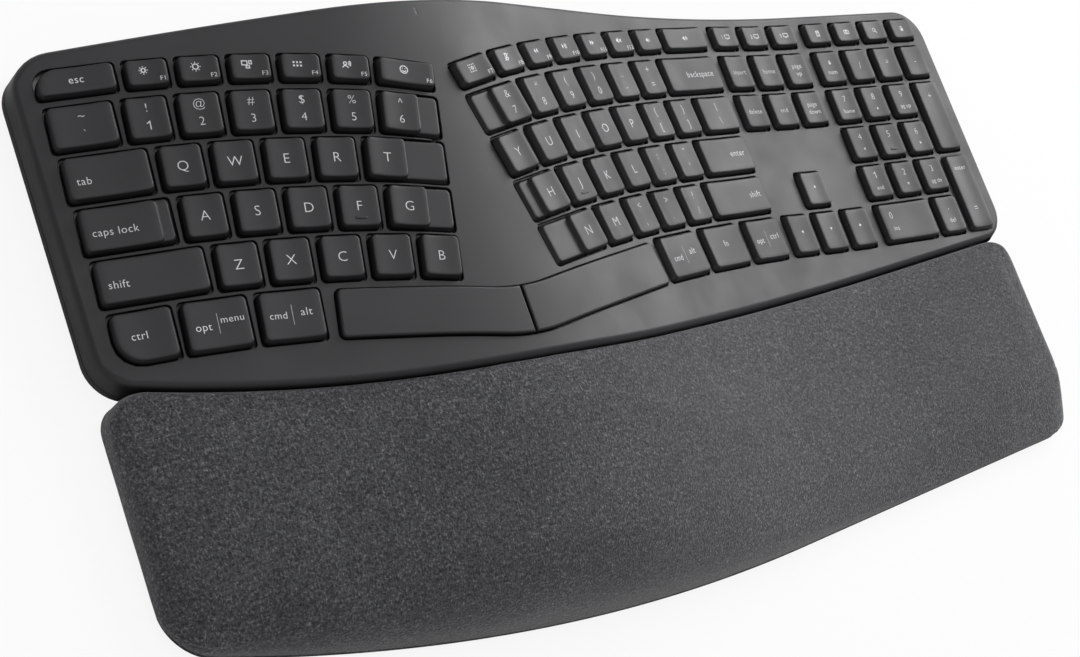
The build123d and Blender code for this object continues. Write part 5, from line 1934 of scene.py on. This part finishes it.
# %% Pictograms
PICTURES = {
    "sun_low": sun(0.42),
    "sun_high": sun(0.58),
    "one": strip([(-0.27, 0.72), (0.07, 0.96), (0.07, 0.0)], 0.13),
    "windows": box(-1, -0.1, 0.1, 0.8) + box(-0.2, -0.8, 0.5, -0.3) + box(0.5, 0.1, 1.0, 0.8),
    "grid": squares(0.42, (-0.95, -0.21, 0.53), (-0.6, 0.15)),
    "voice": ring(-0.35, 0.3, 0.34) + bow(-0.35, -0.85, 0.62, 15, 165, 8)
    + bow(-0.2, 0.3, 0.72, -35, 35, 6) + bow(-0.2, 0.3, 1.05, -35, 35, 6),
    "smile": ring(0, 0, 0.85, 340, 17) + bow(0, 0, 0.45, 200, 340, 8)
    + [arc(-0.3, 0.25, 0.11, 0, 315, 7), arc(0.3, 0.25, 0.11, 0, 315, 7)],
    "frame": frame_corners() + ring(0, 0, 0.3),
    "mic": box(-0.26, -0.1, 0.26, 0.9) + bow(0, 0.0, 0.58, 190, 350, 8)
    + stroke((0, -0.6), (0, -0.95)) + stroke((-0.85, -0.8), (0.85, 0.8)),
    "back": [triangle(-0.45, -1), triangle(0.35, -1)],
    "play": [triangle(-0.5, 1), block(0.2, -0.6, 0.42, 0.6), block(0.62, -0.6, 0.84, 0.6)],
    "ahead": [triangle(-0.35, 1), triangle(0.45, 1)],
    "mute": speaker() + stroke((0.25, -0.35), (0.95, 0.35)) + stroke((0.25, 0.35), (0.95, -0.35)),
    "quiet": speaker() + bow(-0.1, 0, 0.55, -40, 40, 6),
    "loud": speaker() + bow(-0.1, 0, 0.55, -40, 40, 6) + bow(-0.1, 0, 0.95, -40, 40, 6),
    "sums": box(-0.6, -0.85, 0.6, 0.85) + [block(-0.38, 0.3, 0.38, 0.58)]
    + squares(0.2, (-0.38, -0.1, 0.18), (-0.6, -0.2)),
    "camera": box(-0.95, -0.6, 0.95, 0.5) + ring(0, -0.05, 0.32) + [block(-0.35, 0.58, 0.35, 0.78)],
    "search": ring(-0.15, 0.15, 0.55, 340, 14) + strip([(0.25, -0.25), (0.85, -0.85)], LINE * 1.4),
    "lock": [block(-0.55, -0.8, 0.55, 0.1)]
    + stroke((-0.36, 0.1), (-0.36, 0.45), *arc(0, 0.45, 0.36, 180, 0, 8), (0.36, 0.1)),
    "screen": box(-1.0, -0.5, 1.0, 0.7) + [block(-0.45, -0.85, 0.45, -0.68)],
    "up": [[(-0.6, -0.5), (0.6, -0.5), (0.0, 0.6)]],
    "down": [[(-0.6, 0.5), (0.0, -0.6), (0.6, 0.5)]],
    "left": [[(0.5, -0.6), (0.5, 0.6), (-0.6, 0.0)]],
    "right": [[(-0.5, -0.6), (0.6, 0.0), (-0.5, 0.6)]],
    "divider": [block(-0.06, -3.6, 0.06, 3.6)],
}
print("pictograms:", len(PICTURES))

# %% Pictograms on a cap
def put_picture(build, cap, name, size, u, v):
    """A pictogram on a cap, about twice size across."""
    for part in PICTURES[name]:
        start = len(build.points)
        for x, y in part:
            at_u = u + x * size + cap.main_u()
            build.points.append(cap.at(at_u, v + y * size, cap.surface(at_u) + INK_LIFT))
        corners = list(range(start, len(build.points)))
        area = 0.0
        for i, here in enumerate(part):
            after = part[(i + 1) % len(part)]
            area += here[0] * after[1] - after[0] * here[1]
        build.faces.append(tuple(corners) if area > 0 else tuple(reversed(corners)))


print("pictogram ink stands", INK_LIFT, "mm high")

# %% [markdown]
# What each key says. Most caps follow a few patterns: one letter, two signs, a word at the edge, or
# a pictogram with a number. So each pattern is a helper and the table names only what differs. The
# words and signs are generic ones. Each entry gives T for a text or P for a pictogram, its name,
# size and place.

# %% Patterns of legends
LETTER = 5.3
DIGIT = 4.6
WORD = 3.9
SMALL = 3.15


def letter(text):
    """One large letter."""
    return [("T", text, LETTER, 0, -1.9, "C")]


def digit(text, size, v):
    """A digit at its baseline. The one gets a flag, which the lettering lacks."""
    return ("P", "one", size * 0.69, 0, v) if text == "1" else ("T", text, size, 0, v, "C")


def pair(upper, lower):
    """Two signs, one above the other."""
    return [("T", upper, DIGIT, 0, 2.1, "C"), digit(lower, DIGIT, -4.6)]


def word(text, size=WORD, u=0.0, v=-1.3, align="C"):
    """A word, centred unless told otherwise."""
    return [("T", text, size, u, v, align)]


def left_word(text, node_name):
    """A word at the left edge of a wide cap."""
    return [("T", text, WORD, -caps[node_name][0].main_width() / 2 + 3.0, -2.6, "L")]


def function(picture, number, half):
    """A pictogram with the number of a function key at the lower right."""
    return [("P", picture, 1.75, -1.2, 0.7), ("T", "F" + str(number), 2.35, half - 1.2, -3.6, "R")]


def numbered(text, extra):
    """A digit of the pad over a small word."""
    return [digit(text, DIGIT * 0.95, 1.4), ("T", extra, SMALL * 0.9, 0, -4.1, "C")]


def arrowed(text, picture):
    """A digit of the pad over an arrow."""
    return [digit(text, DIGIT * 0.95, 1.4), ("P", picture, 1.15, 0, -3.0)]


def pictures(size, *names):
    """One pictogram in the middle of each cap."""
    return [[("P", name, size, 0, 0)] for name in names]


def functions(names, first, node_name):
    """The function keys of one node, numbered from first."""
    return [
        function(name, first + i, caps[node_name][i].main_width() / 2) for i, name in enumerate(names)
    ]


def right_word(text, node_name, margin, v):
    """A word at the right edge of a wide cap."""
    return word(text, u=caps[node_name][0].main_width() / 2 - margin, v=v, align="R")


def page_word(text):
    """The word page over another word."""
    return word("page", SMALL, v=0.6) + word(text, SMALL, v=-3.0)


def two_words(left, right, divider_u):
    """Two words beside a thin upright line."""
    return left + right + [("P", "divider", 1.0, divider_u, 0)]


print("letters are", LETTER, "mm and digits", DIGIT, "mm high")

# %% Legend table
LEFT_PICTURES = ("sun_low", "sun_high", "windows", "grid", "voice", "smile")
RIGHT_PICTURES = ("frame", "mic", "back", "play", "ahead", "mute")
LEGENDS = {
    "escape_key": [word("esc")],
    "left_function_keys": functions(LEFT_PICTURES, 1, "left_function_keys"),
    "right_function_keys": functions(RIGHT_PICTURES, 7, "right_function_keys")
    + pictures(1.5, "quiet", "loud"),
    "device_keys": [[("T", str(n), 2.6, -2.2, -1.0, "C"), ("P", "screen", 1.35, 1.0, 0)] for n in (1, 2, 3)],
    "shortcut_keys": pictures(1.5, "sums", "camera", "search", "lock"),
    "grave_key": [pair("~", "`")],
    "left_number_keys": [pair(a, b) for a, b in zip("!@#$%^", "123456")],
    "right_number_keys": [pair(a, b) for a, b in zip("&*()_+", "7890-=")],
    "backspace_key": [right_word("backspace", "backspace_key", 4.2, -1.4)],
    "tab_key": [left_word("tab", "tab_key")],
    "left_top_letter_keys": [letter(a) for a in "QWERT"],
    "right_top_letter_keys": [letter(a) for a in "YUIOP"]
    + [pair("{", "["), pair("}", "]"), pair("|", "\\")],
    "caps_lock_key": [left_word("caps lock", "caps_lock_key")],
    "left_home_letter_keys": [letter(a) for a in "ASDFG"],
    "right_home_letter_keys": [letter(a) for a in "HJKL"] + [pair(":", ";"), pair('"', "'")],
    "enter_key": [right_word("enter", "enter_key", 4.0, -0.9)],
    "left_shift_key": [left_word("shift", "left_shift_key")],
    "left_bottom_letter_keys": [letter(a) for a in "ZXCVB"],
    "right_bottom_letter_keys": [letter(a) for a in "NM"] + [pair("<", ","), pair(">", "."), pair("?", "/")],
    "right_shift_key": [right_word("shift", "right_shift_key", 4.0, -1.2)],
    "control_key": [word("ctrl", u=-2.0, v=-1.2)],
    "left_modifier_keys": [
        two_words(word("opt", WORD, -5.0, -2.0), word("menu", 3.5, 5.0, 0.0), 0.1),
        two_words(word("cmd", 3.6, -5.0, -1.2), word("alt", WORD, 4.9, -0.6), 0.0),
    ],
    "right_modifier_keys": [
        two_words(word("cmd", 3.6, -5.6, -1.9), word("alt", WORD, 5.2, -0.3), 0),
        word("fn", WORD, 0, -0.2),
        two_words(word("opt", 3.6, -5.0, -1.6), word("ctrl", 3.6, 4.8, -0.4), 0),
    ],
    "navigation_keys": [
        word("insert", SMALL), word("home", SMALL), page_word("up"),
        word("delete", SMALL), word("end", SMALL), page_word("down"),
    ],
    "arrow_keys": [[("P", picture, 1.2, 0, 0.9)] for picture in ("up", "left", "down", "right")],
    "pad_operator_keys": [
        [("T", "num", SMALL, -0.5, -3.6, "C"), ("P", "lock", 1.1, 0, 2.2)],
        letter("/"), letter("*"), word("-", LETTER, v=-1.6),
    ],
    "pad_number_keys": [
        numbered("7", "home"), arrowed("8", "up"), numbered("9", "pg up"),
        arrowed("4", "left"), word("5", DIGIT, v=1.4), arrowed("6", "right"),
        numbered("1", "end"), arrowed("2", "down"), numbered("3", "pg dn"),
    ],
    "pad_plus_key": [word("+", DIGIT, v=8.5)],
    "pad_enter_key": [word("enter", SMALL, v=11.0) + word("=", DIGIT, v=-9.8)],
    "pad_zero_key": [word("0", DIGIT, -10.2, 1.6) + word("ins", SMALL, -9.6, -4.0)],
    "pad_point_key": [word(".", DIGIT, 0, 2.2) + word("del", SMALL, 0, -4.0)],
}
print("caps with a legend:", sum(len(items) for items in LEGENDS.values()))

# %% [markdown]
# All the ink of one node is one object, and it rides on the body of its caps, so that it goes down
# with them when they are pressed. It is shaded flat, because print has no rounded edges.

# %% Print the legends
for node_name, some in caps.items():
    build = Build()
    for cap, items in zip(some, LEGENDS[node_name]):
        for kind, *how in items:
            if kind == "T":
                put_text(build, cap, *how)
            else:
                put_picture(build, cap, *how)
    ink = link(node_name + "_legends", build.mesh(node_name + "_legends"), legend_ink, smooth=False)
    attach(ink, node_name)
print("legend pieces:", len(LEGENDS), "texts:", len(letter_cache))

# %% [markdown]
# The homing ridges on F, on J and on the 5 of the pad let fingers find their place. Each one is a
# low bar with round ends. A scaled sphere would be too pointed, so four rings that shrink towards
# the top make it.

# %% Homing ridges
HOMING = (("left_home_letter_keys", 3), ("right_home_letter_keys", 1), ("pad_number_keys", 4))
RIDGE_HALF = 2.1
RIDGE_THICK = 0.38
RIDGE_ROUND = 0.36
RIDGE_V = -4.6
RIDGE_STAGES = ((1.0, -0.05), (1.0, 0.12), (0.86, 0.24), (0.5, 0.3))
for node_name, place in HOMING:
    cap = caps[node_name][place]
    build = Build()
    rings = []
    for share, lift in RIDGE_STAGES:
        across = RIDGE_HALF * share + 0.15
        thick = RIDGE_THICK * share
        points = []
        for x, y in round_polygon(block(-across, -thick, across, thick), [RIDGE_ROUND * share] * 4, 4):
            at_u = x + cap.main_u()
            points.append(cap.at(at_u, y + RIDGE_V, cap.surface(at_u) + lift))
        rings.append(build.ring(points))
    build.cap_off(rings[0], upward=False)
    for low_ring, high_ring in zip(rings, rings[1:]):
        build.bridge(low_ring, high_ring)
    build.cap_off(rings[-1])
    ridge = link(node_name + "_ridge", build.mesh(node_name + "_ridge"), cap_plastic, angle=60.0)
    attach(ridge, node_name)
print("ridges:", len(HOMING))

# %% [markdown]
# Fourteen small screws hold the covers and the joining plates from below. Their recess is a cross,
# which a boolean of two boxes could cut. Here the radius of the innermost rings rises and falls
# four times around the head, which gives the cross with no cutting.

# %% One screw
SCREW_RADIUS = 2.3
SCREW_STEPS = 24
CROSS_LEAST = 0.42
CROSS_ARM = 0.62


def add_screw(build, x, y, low):
    """A pan head seen from below: a domed rim around a cross-shaped recess."""
    turns = [2 * math.pi * i / SCREW_STEPS for i in range(SCREW_STEPS)]
    head = [SCREW_RADIUS] * SCREW_STEPS
    cross = [CROSS_LEAST + CROSS_ARM * abs(math.cos(2 * angle)) ** 3 for angle in turns]
    stages = (
        (head, 1.0, 0.75), (head, 1.0, 0.30), (head, 0.86, 0.08), (head, 0.64, 0.0),
        (cross, 1.05, 0.0), (cross, 1.0, 0.12), (cross, 0.8, 0.7),
    )
    rings = []
    for sizes, share, lift in stages:
        points = []
        for size, angle in zip(sizes, turns):
            reach = size * share
            points.append((x + reach * math.cos(angle), y + reach * math.sin(angle), low + lift))
        rings.append(build.ring(points))
    for upper, lower in zip(rings, rings[1:]):
        build.bridge(lower, upper)
    build.cap_off(rings[0])
    build.cap_off(rings[-1], upward=False)


print("screw heads are", SCREW_RADIUS * 2, "mm wide")

# %% Screws
BOSSES = ((-165.0, 108.5), (-77.0, 100.0), (-77.0, 70.0), (143.0, 50.0), (-165.0, -10.5), (100.0, -4.8))
PALM_BOSSES = ((-202.0, -58.0), (-77.0, -70.0), (40.0, -66.0), (202.0, -52.0))
JOINT_XS = (-130.0, 118.0)
SCREW_LOW = 1.05
PLATE_HALF = 12.0
SEAM_GAP = 0.2
places = list(BOSSES + PALM_BOSSES)
for x in JOINT_XS:
    places += [(x, deck_front(x) - SEAM_GAP + side) for side in (-PLATE_HALF, PLATE_HALF)]
screw_build = Build()
for x, y in places:
    add_screw(screw_build, x, y, SCREW_LOW)
screws = link("screws", screw_build.mesh("screws"), screw_metal, angle=35.0)
tidy_normals(screws.data)
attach(screws, BODY)
print("screws:", len(places))

# %% [markdown]
# The photograph has a pure white background with the faintest of shadows, as in a catalogue. Lamps
# strong enough to make paper white would wash out the black plastic. So the paper glows by itself,
# for the camera's rays only, and the rest of what it shows is lit paper, which keeps a faint
# shadow. Seen from below it is clear, so that the underside isn't hidden.

# %% Studio paper
PAPER_GLOW = 0.88
scene = bpy.context.scene


def studio_floor():
    """Near-white paper that stays white to the camera, keeps a faint shadow and is clear from below."""
    material, tree, shader, place = new_material("studio_paper")
    grain = noise_node(tree, place, 240.0, 4.0, 0.6)
    paper = ramp_node(tree, grain, [(0.3, (0.90, 0.90, 0.90)), (0.7, (0.95, 0.95, 0.95))])
    tree.links.new(paper, shader.inputs["Base Color"])
    shader.inputs["Roughness"].default_value = 0.9
    glow = tree.nodes.new("ShaderNodeEmission")
    glow.inputs["Color"].default_value = (1, 1, 1, 1)
    glow.inputs["Strength"].default_value = 1.0
    rays = tree.nodes.new("ShaderNodeLightPath")
    mix = tree.nodes.new("ShaderNodeMixShader")
    share = range_node(tree, rays.outputs["Is Camera Ray"], 0.0, 1.0, 0.0, PAPER_GLOW)
    tree.links.new(share, mix.inputs["Fac"])
    tree.links.new(shader.outputs["BSDF"], mix.inputs[1])
    tree.links.new(glow.outputs["Emission"], mix.inputs[2])
    sides = tree.nodes.new("ShaderNodeNewGeometry")
    clear = tree.nodes.new("ShaderNodeBsdfTransparent")
    one_sided = tree.nodes.new("ShaderNodeMixShader")
    tree.links.new(sides.outputs["Backfacing"], one_sided.inputs["Fac"])
    tree.links.new(mix.outputs["Shader"], one_sided.inputs[1])
    tree.links.new(clear.outputs["BSDF"], one_sided.inputs[2])
    output = next(node for node in tree.nodes if node.type == "OUTPUT_MATERIAL")
    tree.links.new(one_sided.outputs["Shader"], output.inputs["Surface"])
    return material


print("share of glow in the paper:", PAPER_GLOW)

# %% Floor and backdrop
FLOOR_HALF = 3200
PROFILE = [(-3000, 0), (1200, 0), (1700, 40), (2050, 200), (2260, 500), (2330, 900), (2340, 2600)]
floor_build = Build()
left_end, right_end = (floor_build.ring([(x, y, z) for y, z in PROFILE]) for x in (-FLOOR_HALF, FLOOR_HALF))
for i in range(len(PROFILE) - 1):
    floor_build.faces.append((left_end[i], right_end[i], right_end[i + 1], left_end[i + 1]))
floor = link("studio_floor", floor_build.mesh("studio_floor"), studio_floor(), angle=60.0)
floor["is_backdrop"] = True
print("floor faces:", len(floor.data.polygons))

# %% [markdown]
# The light comes from a large soft source behind on the right, which draws the highlights along the
# ramp and leaves the left flank dark. A weaker lamp above fills the tops, a faint one in front on
# the left lifts the nose of the palm rest, and an even white world stands for the walls of a
# studio.

# %% Lights
WORLD_STRENGTH = 0.30


def area_light(name, place, target, size, power):
    """A soft rectangular light aimed at a point, in metres."""
    data = bpy.data.lights.new(name, "AREA")
    data.shape = "RECTANGLE"
    data.size = size[0]
    data.size_y = size[1]
    data.energy = power
    light = bpy.data.objects.new(name, data)
    aim = (Vector(target) - Vector(place)).to_track_quat("-Z", "Y")
    light.matrix_world = Matrix.Translation(place) @ aim.to_matrix().to_4x4()
    scene.collection.objects.link(light)
    return light


area_light("back_right", (1.35, 0.75, 0.85), (0.02, 0.0, 0.0), (1.4, 0.9), 25.5)
area_light("top", (0.05, 0.15, 1.5), (0.0, 0.0, 0.0), (1.4, 1.0), 5.5)
area_light("front_left", (-0.9, -1.0, 0.8), (0.0, 0.0, 0.0), (1.0, 0.8), 1.7)
world = bpy.data.worlds.new("studio")
scene.world = world
world.use_nodes = True
background = world.node_tree.nodes["Background"]
background.inputs["Color"].default_value = (1.0, 1.0, 1.0, 1.0)
background.inputs["Strength"].default_value = WORLD_STRENGTH
scene.view_settings.view_transform = "Standard"
print("lights:", len(bpy.data.lights))

# %% Finish
def plain_list(value):
    """Bounds as plain numbers."""
    if hasattr(value, "keys"):
        return {key: plain_list(value[key]) for key in value.keys()}
    if hasattr(value, "__len__") and not isinstance(value, str):
        return [plain_list(item) for item in value]
    return float(value)


last_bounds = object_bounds()
{"frame": plain_list(first_bounds), "dressed": plain_list(last_bounds)}
print("bounds:", first_bounds, last_bounds)
